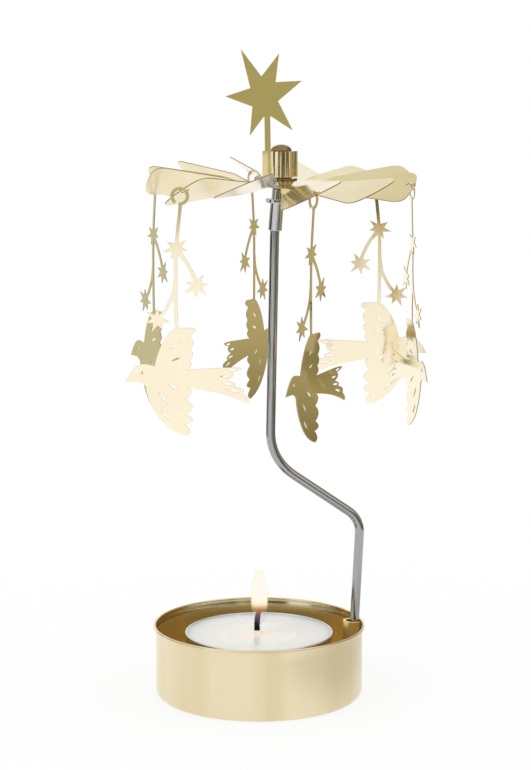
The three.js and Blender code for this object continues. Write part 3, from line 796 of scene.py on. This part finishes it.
class CAROUSEL_OT_dish(Operator):
    """Add the brass dish and the rod socket soldered into it"""

    bl_idname = "carousel.dish"
    bl_label = "Dish"

    def execute(self, context):
        dish = settings("dish")
        finish = settings("finish")
        # Painted reflection: the brass's darker bands are stretched up and down the dish's wall, as the
        # vertical bands that a polished wall mirrors.
        drawn = (1, 1, 0.03)
        outside = brass("dish brass", finish.dish, 0.14, 0.5, 0.05, drawn)
        # The lining is a copy of the dish's brass, and its deeper gold is painted bounce light.
        inside = brass("dish inside brass", finish.inside_bounce_gold, 0.3, 0.12, 0.05, drawn, 0.88)
        rim = DISH_HIGH.x - dish.bead
        foot = rim - dish.flare
        bead_at = DISH_HIGH.z - dish.bead
        wall_low = dish.corner + dish.bead
        corner_at = (foot - dish.corner, dish.corner)
        lip_start = bead_at - dish.bead - dish.lip
        lip = [(foot + dish.flare * t * t, lip_start + dish.lip * t) for t in shares(10)]
        profile = [
            (0, 0),
            *arc(corner_at, dish.corner, -90, 0, 12),
            (foot, wall_low),
            *lip,
            *arc((rim, bead_at), dish.bead, -75, 165, 14),
            *[(out - dish.wall, up) for out, up in reversed(lip)],
            (foot - dish.wall, wall_low),
            *arc(corner_at, dish.corner - dish.wall, 0, -90, 12),
            (0, dish.wall),
        ]
        mesh = spun(profile, dish.sides)
        # Inward faces below the lip and the inner floor take the lining, with its painted bounce light.
        for face in mesh.faces:
            middle = face.calc_center_median()
            away = Vector((middle.x, middle.y, 0))
            lining = face.normal.dot(away) < 0 and middle.z < lip_start + dish.lip / 2
            if lining or (face.normal.z > 0.5 and away.length < foot - dish.corner):
                face.material_index = 1
        keep(mesh, "dish_bowl", "base", [outside, inside], ["dish"])
        self.socket(dish, inside, foot - dish.wall)
        return {"FINISHED"}

    def socket(self, dish, metal, inside):
        """The strap is bent to a U whose legs end at the wall."""
        radius = dish.socket_bore + dish.socket_wall / 2
        middle = inside - dish.socket_set_in
        legs_end = math.sqrt((inside - dish.socket_gap) ** 2 - radius**2)
        path = [(legs_end, -radius), *arc((middle, 0), radius, 270, 90, 32), (legs_end, radius)]
        mesh = standing_strip(path, dish.corner, DISH_HIGH.z - dish.socket_below_rim)
        moved(mesh, Matrix.Rotation(dish.socket_angle, 4, "Z"))
        strap = keep(mesh, "rod_socket_strap", "base", [metal], ["rod_socket"])
        bevelled(thickened(strap, dish.socket_wall), dish.socket_wall / 5)


class CAROUSEL_OT_tealight(Operator):
    """Add the tealight: cup, wax, wick and the wick's foot"""

    bl_idname = "carousel.tealight"
    bl_label = "Tealight"

    def execute(self, context):
        candle = settings("candle")
        finish = settings("finish")
        self.cup(candle, foil("cup foil", finish.foil))
        self.wax(candle, finish)
        self.wick(candle, finish)
        tab = frame["nodes"]["wick_tab"].data.materials
        tab.clear()
        tab.append(steel("wick tab steel", finish.steel, 0.25))
        return {"FINISHED"}

    def cup(self, candle, metal):
        bead = candle.cup_bead
        wall = CUP_HIGH.x - bead
        bead_at = CUP_HIGH.z - bead
        lining = wall - candle.cup_wall
        floor = CUP_LOW.z + candle.cup_wall
        profile = [
            *softened([(0, CUP_LOW.z), (wall, CUP_LOW.z), (wall, bead_at)], 2 * bead),
            *arc((wall, bead_at), bead, 0, 180, 8),
            (lining, CUP_HIGH.z - 2 * bead), (lining, floor), (0, floor),
        ]
        mesh = spun(profile, CANDLE_SIDES)
        keep(mesh, "tealight_foil", "tealight", [metal], ["tealight_cup"])

    def wax(self, candle, finish):
        """The block, with a meniscus up the cup, a shallow pool, and a rise round the wick."""
        edge = WAX_HIGH.x
        top = WAX_HIGH.z
        play = candle.bead_play
        rise = 12 * play
        surface = [
            (edge, 0), (edge - play, 0), (edge - 4 * play, -1.2), (edge - 9 * play, -1.7),
            (edge * 0.72, -1.8), (edge * 0.6, -2.1), (rise, -2.1), (8 * play, -1.8),
            (5.4 * play, -0.9), (4.4 * play, 0.8), (3.6 * play, 2), (0, 2),
        ]
        profile = [(0, WAX_LOW.z), (edge, WAX_LOW.z), *[(out, top + up * play) for out, up in surface]]
        mesh = spun(softened(profile, 3 * play), CANDLE_SIDES)
        for vert in mesh.verts:
            away = math.hypot(vert.co.x, vert.co.y)
            if vert.co.z > top - 3 * play and away < rise:
                vert.co.x += WICK_X * (1 - away / rise)
        block = paraffin("wax", finish.wax, (WICK_X, 0, top), edge * 0.64)
        keep(mesh, "wax_block", "tealight", [block], ["wax"], crease=60)

    def wick(self, candle, finish):
        height = WICK_HIGH.z - WAX_HIGH.z
        start = Vector((WICK_X, 0, WICK_LOW.z))
        straight = Vector((WICK_X, 0, WAX_HIGH.z + height * WICK_STRAIGHT_SHARE))
        corner = Vector((WICK_X, 0, WAX_HIGH.z + height * WICK_CORNER_SHARE))
        end_height = WICK_HIGH.z + candle.wick_rise - candle.wick_radius / 2
        end = Vector((WICK_X + candle.wick_lean, 0, end_height))
        path = [start.lerp(straight, t) for t in shares(12)[:-1]]
        path += bend(straight, corner, end, 20)
        thin = [1 - 0.25 * step / len(path) + 0.06 * math.sin(step * 1.9) for step in range(len(path))]
        thin[-3:] = [0.7, 0.6, 0.4]
        cotton = wick_cotton("wick cotton", finish.char, finish.ember, WAX_HIGH.z, WICK_HIGH.z)
        mesh = tube(path, candle.wick_radius, WICK_SIDES, thin)
        keep(mesh, "wick_braid", "tealight", [cotton], ["wick"], crease=80)


class CAROUSEL_OT_flame(Operator):
    """Add the flame, a clear shell round a bright core"""

    bl_idname = "carousel.flame"
    bl_label = "Flame"

    def execute(self, context):
        candle = settings("candle")
        middle = Matrix.Translation((WICK_X + candle.wick_lean * 0.5, 0, WAX_HIGH.z))
        reach = candle.flame_tip - candle.flame_start
        for name, size, alpha, tone in FLAME_LAYERS:
            start = candle.flame_start + reach * (1 - size) * 0.35
            tip = start + reach * size
            width = candle.flame_width / 2 * size
            profile = [(width * out, start + (tip - start) * up) for up, out in FLAME_SHARES]
            mesh = moved(spun(softened(profile, candle.flame_width / 5), FLAME_SIDES), middle)
            glow = flame_glow(name, linear(*tone), WAX_HIGH.z + start, WAX_HIGH.z + tip, alpha)
            keep(mesh, name, "tealight", [glow], crease=180)
        return {"FINISHED"}


class CAROUSEL_OT_stand(Operator):
    """Add the cranked rod, the ferrule over its top and the needle"""

    bl_idname = "carousel.stand"
    bl_label = "Rod and needle"

    def execute(self, context):
        rod = settings("rod")
        finish = settings("finish")
        dish = settings("dish")
        inside = DISH_HIGH.x - dish.bead - dish.flare - dish.wall
        foot = polar(inside - rod.foot_inset - rod.radius, dish.socket_angle).to_3d()
        out = (foot - ROTOR_AXIS).normalized()
        reach = (foot - ROTOR_AXIS).length

        def at(distance, height):
            return ROTOR_AXIS + out * distance + UP * height

        tip = at(0, CAP_HIGH.z - settings("topper").cap_wall - rod.seat_gap)
        ferrule_length = rod.sleeve + rod.collar + rod.shoulder + rod.nose
        neck = at(-rod.neck_past, tip.z - rod.needle_length - ferrule_length - rod.neck_below)
        low_elbow = at(reach + rod.low_elbow_out, rod.low_elbow_height)
        high_elbow = at(-rod.high_elbow_past, rod.high_elbow_height)
        path = [at(reach, rod.foot_height)]
        path += self.elbow(path[0], low_elbow, high_elbow, rod.low_elbow_reach)
        path += self.elbow(low_elbow, high_elbow, neck, rod.high_elbow_reach)
        lean = (tip - neck).normalized()
        top = tip - lean * (rod.needle_length + ferrule_length - rod.sleeve + rod.sleeve_cap)
        path += [neck, top]
        bar = steel("rod steel", finish.steel, 0.07)
        mesh = tube(self.evened(path), rod.radius, BAR_SIDES)
        bevelled(keep(mesh, "rod_bar", "stand", [bar], ["rod"]), rod.radius / 8)
        place = Matrix.Translation(tip) @ turned(UP, lean)
        metal = steel("ferrule steel", finish.bright_steel, 0.04, (1, 1, 6))
        mesh = moved(self.ferrule(rod), place)
        keep(mesh, "ferrule_turned", "stand", [metal], ["ferrule"])
        metal = steel("needle steel", finish.steel, 0.12)
        mesh = moved(self.needle(rod), place)
        keep(mesh, "needle_pin", "stand", [metal], ["needle"])
        return {"FINISHED"}

    def elbow(self, before, corner, after, reach):
        start = corner + (before - corner).normalized() * reach
        return bend(start, corner, corner + (after - corner).normalized() * reach, 16)

    def evened(self, path):
        """Adds points to each long straight stretch."""
        dense = [path[0]]
        for point in path[1:]:
            start = dense[-1].copy()
            pieces = max(1, round((point - start).length / EVEN_STEP))
            dense += [start.lerp(point, t) for t in shares(pieces)[1:]]
        return dense

    def ferrule(self, rod):
        nose_low = -rod.needle_length - rod.nose
        collar_top = nose_low - rod.shoulder
        collar_low = collar_top - rod.collar
        bottom = collar_low - rod.sleeve
        bore = rod.radius + FINE_GAP
        corners = [
            (bore, bottom), (rod.sleeve_radius, bottom), (rod.sleeve_radius, collar_low),
            (rod.collar_radius, collar_low), (rod.collar_radius, collar_top),
            (rod.shoulder_radius, collar_top), (rod.shoulder_radius, nose_low),
            (rod.nose_radius, nose_low), (rod.nose_radius, -rod.needle_length),
            (rod.needle_radius, -rod.needle_length), (rod.needle_radius, collar_low),
            (bore, collar_low - rod.sleeve_cap), (bore, bottom),
        ]
        return spun(softened(corners, 3 * FINE_GAP), FERRULE_SIDES)

    def needle(self, rod):
        low = -rod.needle_length - rod.needle_set_in
        radius = rod.needle_radius - FINE_GAP
        corners = [(0, low), (radius, low), (radius, -rod.needle_point), (FINE_GAP, -FINE_GAP), (0, 0)]
        return spun(softened(corners, 2 * FINE_GAP), BAR_SIDES)


class CAROUSEL_OT_rotor(Operator):
    """Add the slit and twisted sheet that the warm air turns"""

    bl_idname = "carousel.rotor"
    bl_label = "Rotor"

    def execute(self, context):
        rotor = settings("rotor")
        topper = settings("topper")
        finish = settings("finish")
        metal = brass("rotor brass", finish.rotor, 0.12)
        edge = cut_edge("rotor edge", finish.cut)
        mesh = bmesh.new()
        for index in range(rotor.blades):
            self.add_blade(mesh, rotor, index)
        half = rotor.sheet / 2 * HUB_THICKER
        bore = topper.cap_bore + topper.cap_wall + topper.fit_gap
        ring = [(bore, -half), (rotor.hub_radius, -half), (rotor.hub_radius, half), (bore, half)]
        hub = spun(ring + ring[:1], HUB_SIDES)
        joined(mesh, moved(hub, Matrix.Translation((0, 0, rotor.plate_height))))
        moved(mesh, ON_AXIS)
        keep(mesh, "rotor_sheet", "rotor", [metal, edge], ["rotor"], crease=50)
        return {"FINISHED"}

    def add_blade(self, mesh, rotor, index):
        """A flat blade with its hole, cut across and along, then lifted and twisted."""
        root = rotor.hub_radius * BLADE_ROOT_SHARE
        blade = bmesh.new()
        loops = [self.blade_outline(rotor, root)]
        if index % 2 == 0:
            loops.append(arc(hook_hole_place(rotor, index), rotor.hook_hole, 0, 345, 23))
        filled(blade, loops)
        for i in range(1, int((rotor.radius - root) / BLADE_STEP)):
            self.slice(blade, (root + i * BLADE_STEP, 0, 0), (1, 0, 0))
        for i in range(-BLADE_CUTS, BLADE_CUTS + 1):
            self.slice(blade, (0, 0, i * BLADE_STEP), (0, 0, 1))
        raised(blade, bmesh.ops.extrude_face_region(blade, geom=blade.faces[:]), (0, rotor.sheet, 0))
        bmesh.ops.recalc_face_normals(blade, faces=blade.faces)
        side_faces(blade)
        for corner in blade.verts:
            along, off, across = corner.co
            corner.co = self.blade_point(rotor, index, along, across, off - rotor.sheet / 2)
        bmesh.ops.recalc_face_normals(blade, faces=blade.faces)
        joined(mesh, blade)

    def slice(self, mesh, point, normal):
        geometry = mesh.verts[:] + mesh.edges[:] + mesh.faces[:]
        bmesh.ops.bisect_plane(mesh, geom=geometry, dist=WELD, plane_co=point, plane_no=normal)

    def blade_outline(self, rotor, root):
        half_slice = math.pi / rotor.blades
        corner_turn = half_slice - rotor.slit / 2 / rotor.radius
        rounding = rotor.corner / rotor.radius
        tip = [polar(rotor.radius, (corner_turn - rounding) * (step / 6 - 1)) for step in range(13)]
        corner = polar(rotor.radius, -corner_turn)
        start = corner - Vector((math.cos(half_slice), -math.sin(half_slice))) * rotor.corner
        below = bend(start, corner, tip[0], 6)[:-1]
        above = [Vector((point.x, -point.y)) for point in reversed(below)]
        across = root * math.tan(half_slice) - rotor.slit / 2
        return [Vector((root, -across)), *below, *tip, *above, Vector((root, across))]

    def blade_point(self, rotor, index, along, across, off):
        """Where a point of the flat blade goes: along it, across it and off its middle."""
        out, side, pitch, lift = blade_frame(rotor, index)
        t = min(1, max(0, (along - rotor.twist_start) / (rotor.twist_end - rotor.twist_start)))
        pitch = pitch * t * t * (3 - 2 * t)
        past = max(0, along - rotor.hub_radius)
        reach = min(along, rotor.hub_radius) + past * math.cos(lift)
        point = out * reach + UP * (rotor.plate_height + past * math.sin(lift))
        point += side * (across * math.cos(pitch) - off * math.sin(pitch))
        return point + UP * (across * math.sin(pitch) + off * math.cos(pitch))


def blade_frame(rotor, index):
    """A blade's directions outwards and sideways, and its pitch and lift."""
    turn = rotor.first_blade + index * math.tau / rotor.blades
    out = Vector((math.sin(turn), -math.cos(turn), 0))
    side = Vector((math.cos(turn), math.sin(turn), 0))
    return out, side, math.radians(BLADE_PITCH_DEGREES[index]), math.radians(BLADE_LIFT_DEGREES[index])


def hook_hole_place(rotor, index):
    """Where the hook's ring crosses its blade, along and across the flat blade."""
    joint = JOINTS[f"pendant_{index // 2 + 1}_swing"]
    pendant = settings("pendant")
    hook = Vector(joint["pos_m"]) - ROTOR_AXIS
    heading = Vector((-joint["axis"][1], joint["axis"][0], 0))
    out, side, pitch, lift = blade_frame(rotor, index)
    ring = pendant.hook_bore + pendant.hook_width / 2
    step = heading * (-1 if heading.dot(out) > 0 else 1)
    slope = step.dot(side) * math.tan(pitch) + step.dot(out) * math.tan(lift)
    hook_reach = (hook.x * out.x) + (hook.y * out.y)
    drop = rotor.plate_height + (hook_reach - rotor.hub_radius) * math.tan(lift) - hook.z
    steep = 1 + slope * slope
    reach = (math.sqrt(ring * ring * steep - drop * drop) - slope * drop) / steep
    along = hook_reach + reach * step.dot(out)
    across = reach * step.dot(side) / math.cos(pitch)
    return rotor.hub_radius + (along - rotor.hub_radius) / math.cos(lift), across


class CAROUSEL_OT_hub_cap(Operator):
    """Add the drawn cap that rides on the needle"""

    bl_idname = "carousel.hub_cap"
    bl_label = "Hub cap"

    def execute(self, context):
        topper = settings("topper")
        finish = settings("finish")
        bore = topper.cap_bore
        outer = bore + topper.cap_wall
        flange_top = TOPPER_LOW - topper.strip_above_flange
        flange_low = flange_top - topper.flange_wall
        boss_low = flange_low - topper.boss_height
        shoulder = CAP_HIGH.z - topper.dome
        turns = [math.pi / 2 * step / 12 for step in range(13)]

        def dome(radius, rise):
            return [(radius * math.cos(t), shoulder + rise * math.sin(t)) for t in turns]

        outside = [
            (bore, CAP_LOW.z), (outer, CAP_LOW.z), (outer, boss_low), (topper.boss, boss_low),
            (topper.boss, flange_low), (topper.flange, flange_low), (topper.flange, flange_top),
            (outer, flange_top), (outer, shoulder),
        ]
        profile = softened(outside, 3 * FINE_GAP) + dome(outer, topper.dome)[1:]
        profile += dome(bore, topper.dome - topper.cap_wall)[::-1] + [(bore, CAP_LOW.z)]
        mesh = spun(profile, HUB_SIDES)
        for face in mesh.faces:
            if face.calc_center_median().z < flange_low - FINE_GAP:
                face.material_index = 1
        moved(mesh, ON_AXIS)
        metals = [brass("cap brass", finish.cap, 0.04, 0.3, 0.04), brass("boss brass", finish.boss, 0.12)]
        keep(mesh, "hub_cap_drawn", "rotor", metals, ["hub_cap"])
        return {"FINISHED"}


class CAROUSEL_OT_star_topper(Operator):
    """Add the star and the strip that holds it round the hub cap"""

    bl_idname = "carousel.star_topper"
    bl_label = "Star topper"

    def execute(self, context):
        topper = settings("topper")
        finish = settings("finish")
        metal = brass("topper brass", finish.topper, 0.05, 0.12)
        edge = cut_edge("topper edge", finish.cut)
        top = TOPPER_LOW + topper.strip_height
        radius = topper.cap_bore + topper.cap_wall + topper.fit_gap + topper.sheet / 2
        band = moved(standing_strip(self.band_path(topper, radius), TOPPER_LOW, top), ON_AXIS)
        strip = keep(band, "topper_strip", "rotor", [metal], ["star_topper"])
        bevelled(thickened(strip, topper.sheet), FINE_GAP)
        middle = (TOPPER_LOW + top) / 2
        half = topper.strap_height / 2
        loop = standing_strip(arc((0, 0), radius, 0, 180, 32), middle - half, middle + half)
        strap = keep(moved(loop, ON_AXIS), "topper_strap", "rotor", [metal])
        bevelled(thickened(strap, topper.sheet), FINE_GAP)
        mesh = bmesh.new()
        foot = top + topper.star_rise
        star = [
            (-topper.star_left + x * topper.star_width, foot + z * topper.star_height)
            for x, z in STAR_POINT_SHARES
        ]
        cut_sheet(mesh, [star], topper.sheet)
        notch = (Vector(star[7]) + Vector(star[8])) / 2 + Vector((0, topper.stem_width))
        stem = [(-topper.stem_left, TOPPER_LOW), (-topper.stem_left, top), notch]
        cut_sheet(mesh, [ribbon(stem, topper.stem_width)], topper.sheet * STEM_THICKER)
        bmesh.ops.recalc_face_normals(mesh, faces=mesh.faces)
        side_faces(mesh)
        sheet = keep(moved(mesh, ON_AXIS), "topper_star", "rotor", [metal, edge])
        bevelled(sheet, FINE_GAP)
        return {"FINISHED"}

    def band_path(self, topper, radius):
        """Flat at both ends, and bent round the front of the cap between them."""
        bend_radius = topper.strip_bend
        turn = math.asin(bend_radius / (radius + bend_radius))
        flat_end = (radius + bend_radius) * math.cos(turn)
        degrees = math.degrees(turn)
        left = arc((-flat_end, -bend_radius), bend_radius, 90, degrees, 8)
        right = arc((flat_end, -bend_radius), bend_radius, 180 - degrees, 90, 8)
        round_cap = arc((0, 0), radius, 180 + degrees, 360 - degrees, 48)
        near_bend = flat_end + topper.sheet
        start = [(-topper.strip_left, 0), (-near_bend, 0)]
        return [*start, *left, *round_cap[1:-1], *right, (near_bend, 0), (topper.strip_right, 0)]


class CAROUSEL_OT_pendants(Operator):
    """Add the hanging birds with their stars"""

    bl_idname = "carousel.pendants"
    bl_label = "Pendants"

    def execute(self, context):
        finish = settings("finish")
        metals = [brass("pendant brass", finish.pendant, 0.05, 0.1), cut_edge("pendant edge", finish.cut)]
        pattern = self.pattern(settings("pendant"))
        for name in ("pendant_1", "pendant_2", "pendant_3", "pendant_4", "pendant_5", "pendant_6"):
            joint = JOINTS[name + "_swing"]
            heading = math.atan2(joint["axis"][0], -joint["axis"][1])
            place = Matrix.Translation(Vector(joint["pos_m"])) @ Matrix.Rotation(heading, 4, "Z")
            mesh = moved(pattern.copy(), place)
            bevelled(keep(mesh, name + "_bird", name, metals, [name]), FINE_GAP)
        pattern.free()
        return {"FINISHED"}

    def pattern(self, pendant):
        """One pendant in the XZ plane: the hook's middle at the origin, the beak towards +X."""
        start, end = HOOK_END_DEGREES
        ring = arc((0, 0), pendant.hook_bore + pendant.hook_width, start, end, 48)
        ring += arc((0, 0), pendant.hook_bore, end, start, 48)

        def on_stem(places):
            return [(x * pendant.stem_length, z * pendant.stem_length) for x, z in places]

        sheets = [[ring], self.bird(pendant)]
        for path in (STEM_PATH_SHARES, TAIL_TWIG_SHARES, BEAK_TWIG_SHARES):
            sheets.append([ribbon(on_stem(path), pendant.stem_width)])
        for place, twig in zip(on_stem(STAR_PLACE_SHARES), TWIG_DEGREES):
            sheets.append([self.small_star(pendant, place, twig)])
        mesh = bmesh.new()
        for layer, loops in enumerate(sheets):
            cut_sheet(mesh, loops, pendant.sheet * (1 - LAYER_THINNER * layer))
        bmesh.ops.recalc_face_normals(mesh, faces=mesh.faces)
        side_faces(mesh)
        return mesh

    def bird(self, pendant):
        top = -pendant.stem_length + pendant.wing_over

        def in_box(point):
            x = pendant.bird_forward - (1 - point[0]) * pendant.bird_width
            return Vector((x, top - (1 - point[1]) * pendant.bird_height))

        edge = [in_box(BIRD_START_SHARE)]
        for step in BIRD_OUTLINE_SHARES:
            points = [in_box(point) for point in step]
            edge += bend(edge[-1], *points, 8)[1:] if len(points) == 2 else points
        slots = [self.slot(in_box(a), in_box(b), pendant.slot_width) for a, b in SLOT_END_SHARES]
        return [edge, *slots, arc(in_box(EYE_SHARE), pendant.eye, 0, 330, 11)]

    def slot(self, start, end, width):
        """A cut with pointed ends."""
        way = (end - start).normalized()
        side = Vector((-way.y, way.x)) * width
        middle = (start + end) / 2
        return bend(start, middle + side, end, 8)[:-1] + bend(end, middle - side, start, 8)[:-1]

    def small_star(self, pendant, place, twig):
        """Seven places for a tip; the twig that carries the star comes in at the first."""
        notch = pendant.star_notch
        tips = [notch, *[pendant.star_radius * share for share in SMALL_STAR_TIP_SHARES]]
        points = []
        for i, tip in enumerate(tips):
            for radius, step in ((tip, i), (notch, i + 0.5)):
                turn = math.radians(twig + step * 360 / len(tips))
                points.append((place[0] + radius * math.cos(turn), place[1] + radius * math.sin(turn)))
        return points


class CAROUSEL_OT_stage(Operator):
    """Add the floor, the cards that the metal mirrors, the lamps and the white surroundings"""

    bl_idname = "carousel.stage"
    bl_label = "Stage"

    def execute(self, context):
        context.scene.view_settings.view_transform = "Standard"
        mesh = bmesh.new()
        bmesh.ops.create_grid(mesh, x_segments=1, y_segments=1, size=settings("stage").floor_reach)
        solid("floor", mesh, [self.floor_finish()])
        for card in CARDS:
            self.add_card(*card)
        for lamp in LAMPS:
            self.add_lamp(*lamp)
        context.scene.world = bpy.data.worlds.new("surroundings")
        recipe = Recipe(context.scene.world)
        light = {"Color": (1, 1, 1, 1), "Strength": SOFT_LIGHT + seen_directly(recipe) * (1 - SOFT_LIGHT)}
        white = recipe.node("ShaderNodeBackground", light)
        recipe.node("ShaderNodeOutputWorld", {"Surface": white})
        return {"FINISHED"}

    def floor_finish(self):
        """White, with the object's shadow, and a painted shade at the dish's right that only the metal's
        reflections see, so it mirrors a dimmer floor there.
        """
        recipe = new_recipe("floor white")
        place = recipe.place()
        away = recipe.away(place)
        matt = recipe.node("ShaderNodeBsdfDiffuse", {"Color": plain(linear(250, 250, 250))})
        share = seen_directly(recipe) * (FLOOR_NEAR + away.between(0.04, 0.2) * (1 - FLOOR_NEAR))
        floor = recipe.blend(share, matt, recipe.glow((1, 1, 1, 1)))
        # Painted shade: right of the dish, reflections see the floor a third of the way towards a warm
        # grey.
        right = recipe.axis(place, "X").between(0.012, 0.06) * (1 - away.between(0.1, 0.16))
        mirrored_shade = recipe.glow(plain(linear(150, 142, 126)))
        return recipe.surface(recipe.blend(right * recipe.ray("Glossy") * 0.33, floor, mirrored_shade))

    def add_card(self, name, direction, distance, width, low, high, fade, foot_tone, tone):
        """A card that only mirrors see. Its tone changes from its foot up to the height fade."""
        mesh = bmesh.new()
        bmesh.ops.create_grid(mesh, x_segments=1, y_segments=1, size=0.5)
        bmesh.ops.scale(mesh, vec=(width * MM, (high - low) * MM, 1), verts=mesh.verts)
        stands = Matrix.Translation((0, -distance * MM, (low + high) / 2 * MM))
        turn = Matrix.Rotation(math.radians(direction), 4, "Z")
        moved(mesh, turn @ stands @ Matrix.Rotation(math.pi / 2, 4, "X"))
        recipe = new_recipe(name)
        height = recipe.axis(recipe.place(), "Z")
        tones = recipe.mix(height.between(low * MM, fade * MM), linear(*foot_tone), linear(*tone))
        card = solid(name, mesh, [recipe.surface(recipe.glow(tones))])
        card.visible_camera = False
        card.visible_diffuse = False
        card.visible_shadow = False
        card.visible_transmission = False

    def add_lamp(self, name, place, size, power, tone):
        data = bpy.data.lights.new(name, "AREA")
        data.shape = "SQUARE"
        data.size = size * MM
        data.energy = power
        data.color = linear(*tone)
        lamp = linked(name, data)
        lamp.location = [value * MM for value in place]
        aim = Vector((0, 0, 0.08)) - lamp.location
        lamp.rotation_euler = aim.to_track_quat("-Z", "Y").to_euler()
        lamp.visible_glossy = False


# Name, direction in degrees from -Y towards +X, then in millimetres the distance, the width, the
# lowest and the highest edge and the height at which the foot's tone has become the other one
CARDS = [
    ("card_front", -1.4, 1000, 112, 0, 420, 34, (255, 255, 250), (180, 175, 128)),
    ("card_front_dark", 6.6, 1000, 160, 4, 48, 30, (212, 180, 86), (66, 70, 56)),
    ("card_front_gold", 5.1, 800, 18, 0, 30, 30, (186, 162, 84), (138, 118, 58)),
    ("card_right_gold", 7.9, 690, 17, 0, 30, 30, (186, 162, 84), (138, 118, 58)),
    ("card_side_gold", 27.3, 690, 64, 0, 30, 30, (186, 162, 84), (138, 118, 58)),
    ("card_over_dark", 6.6, 1005, 160, 48, 420, 60, (120, 114, 92), (120, 114, 92)),
    ("card_front_right", 24, 1020, 460, 12, 420, 40, (110, 106, 90), (84, 82, 66)),
    ("card_near_right", 20.5, 300, 68, 0, 106, 106, (176, 173, 162), (140, 137, 127)),
    ("card_near_edge", 41, 290, 62, 0, 106, 106, (118, 116, 108), (112, 110, 102)),
    ("card_near_side", 66, 300, 200, 0, 106, 106, (132, 130, 120), (128, 126, 116)),
    ("card_right", 60, 1040, 700, 20, 420, 40, (130, 122, 98), (110, 104, 78)),
    ("card_front_left", -19, 1020, 500, 34, 420, 56, (130, 120, 100), (60, 55, 44)),
    ("card_left", -73, 1040, 420, 16, 420, 40, (90, 82, 64), (56, 52, 42)),
    ("card_right_back", 118, 250, 300, 0, 420, 66, (98, 86, 44), (178, 168, 126)),
    ("card_left_dark", -91, 240, 204, 0, 108, 84, (184, 176, 136), (64, 63, 60)),
    ("card_left_back", -118, 250, 70, 0, 420, 10, (198, 196, 170), (197, 195, 169)),
    ("card_left_behind", -129, 240, 50, 0, 108, 10, (84, 83, 80), (80, 79, 75)),
    ("card_sky_behind", 178, 1000, 900, 560, 1400, 800, (254, 254, 250), (226, 223, 202)),
]

# Name, place and size in millimetres, power in watts, and tone
LAMPS = [
    ("lamp_left", (-900, -700, 1100), 900, 6.5, (255, 252, 246)),
    ("lamp_right", (1000, -300, 900), 800, 2.5, (255, 253, 250)),
    ("lamp_top", (0, 200, 1400), 1000, 3.5, (255, 255, 255)),
]

PIECES = [
    CAROUSEL_OT_camera,
    CAROUSEL_OT_dish,
    CAROUSEL_OT_tealight,
    CAROUSEL_OT_flame,
    CAROUSEL_OT_stand,
    CAROUSEL_OT_rotor,
    CAROUSEL_OT_hub_cap,
    CAROUSEL_OT_star_topper,
    CAROUSEL_OT_pendants,
    CAROUSEL_OT_stage,
]


class CAROUSEL_PT_panel(Panel):
    """Lists the carousel's pieces"""

    bl_label = "Candle Carousel"
    bl_idname = "CAROUSEL_PT_panel"
    bl_space_type = "VIEW_3D"
    bl_region_type = "UI"
    bl_category = "Carousel"

    def draw(self, context):
        for piece in PIECES:
            self.layout.operator(piece.bl_idname)


def register():
    for kind in [*SETTINGS.values(), *PIECES, CAROUSEL_PT_panel]:
        bpy.utils.register_class(kind)
    for name, kind in SETTINGS.items():
        setattr(bpy.types.Scene, PREFIX + name, PointerProperty(type=kind))


def unregister():
    for name in SETTINGS:
        delattr(bpy.types.Scene, PREFIX + name)
    for kind in [*SETTINGS.values(), *PIECES, CAROUSEL_PT_panel]:
        bpy.utils.unregister_class(kind)


def main():
    register()
    for piece in PIECES:
        getattr(bpy.ops.carousel, piece.bl_idname.split(".")[1])()


if __name__ == "__main__":
    main()
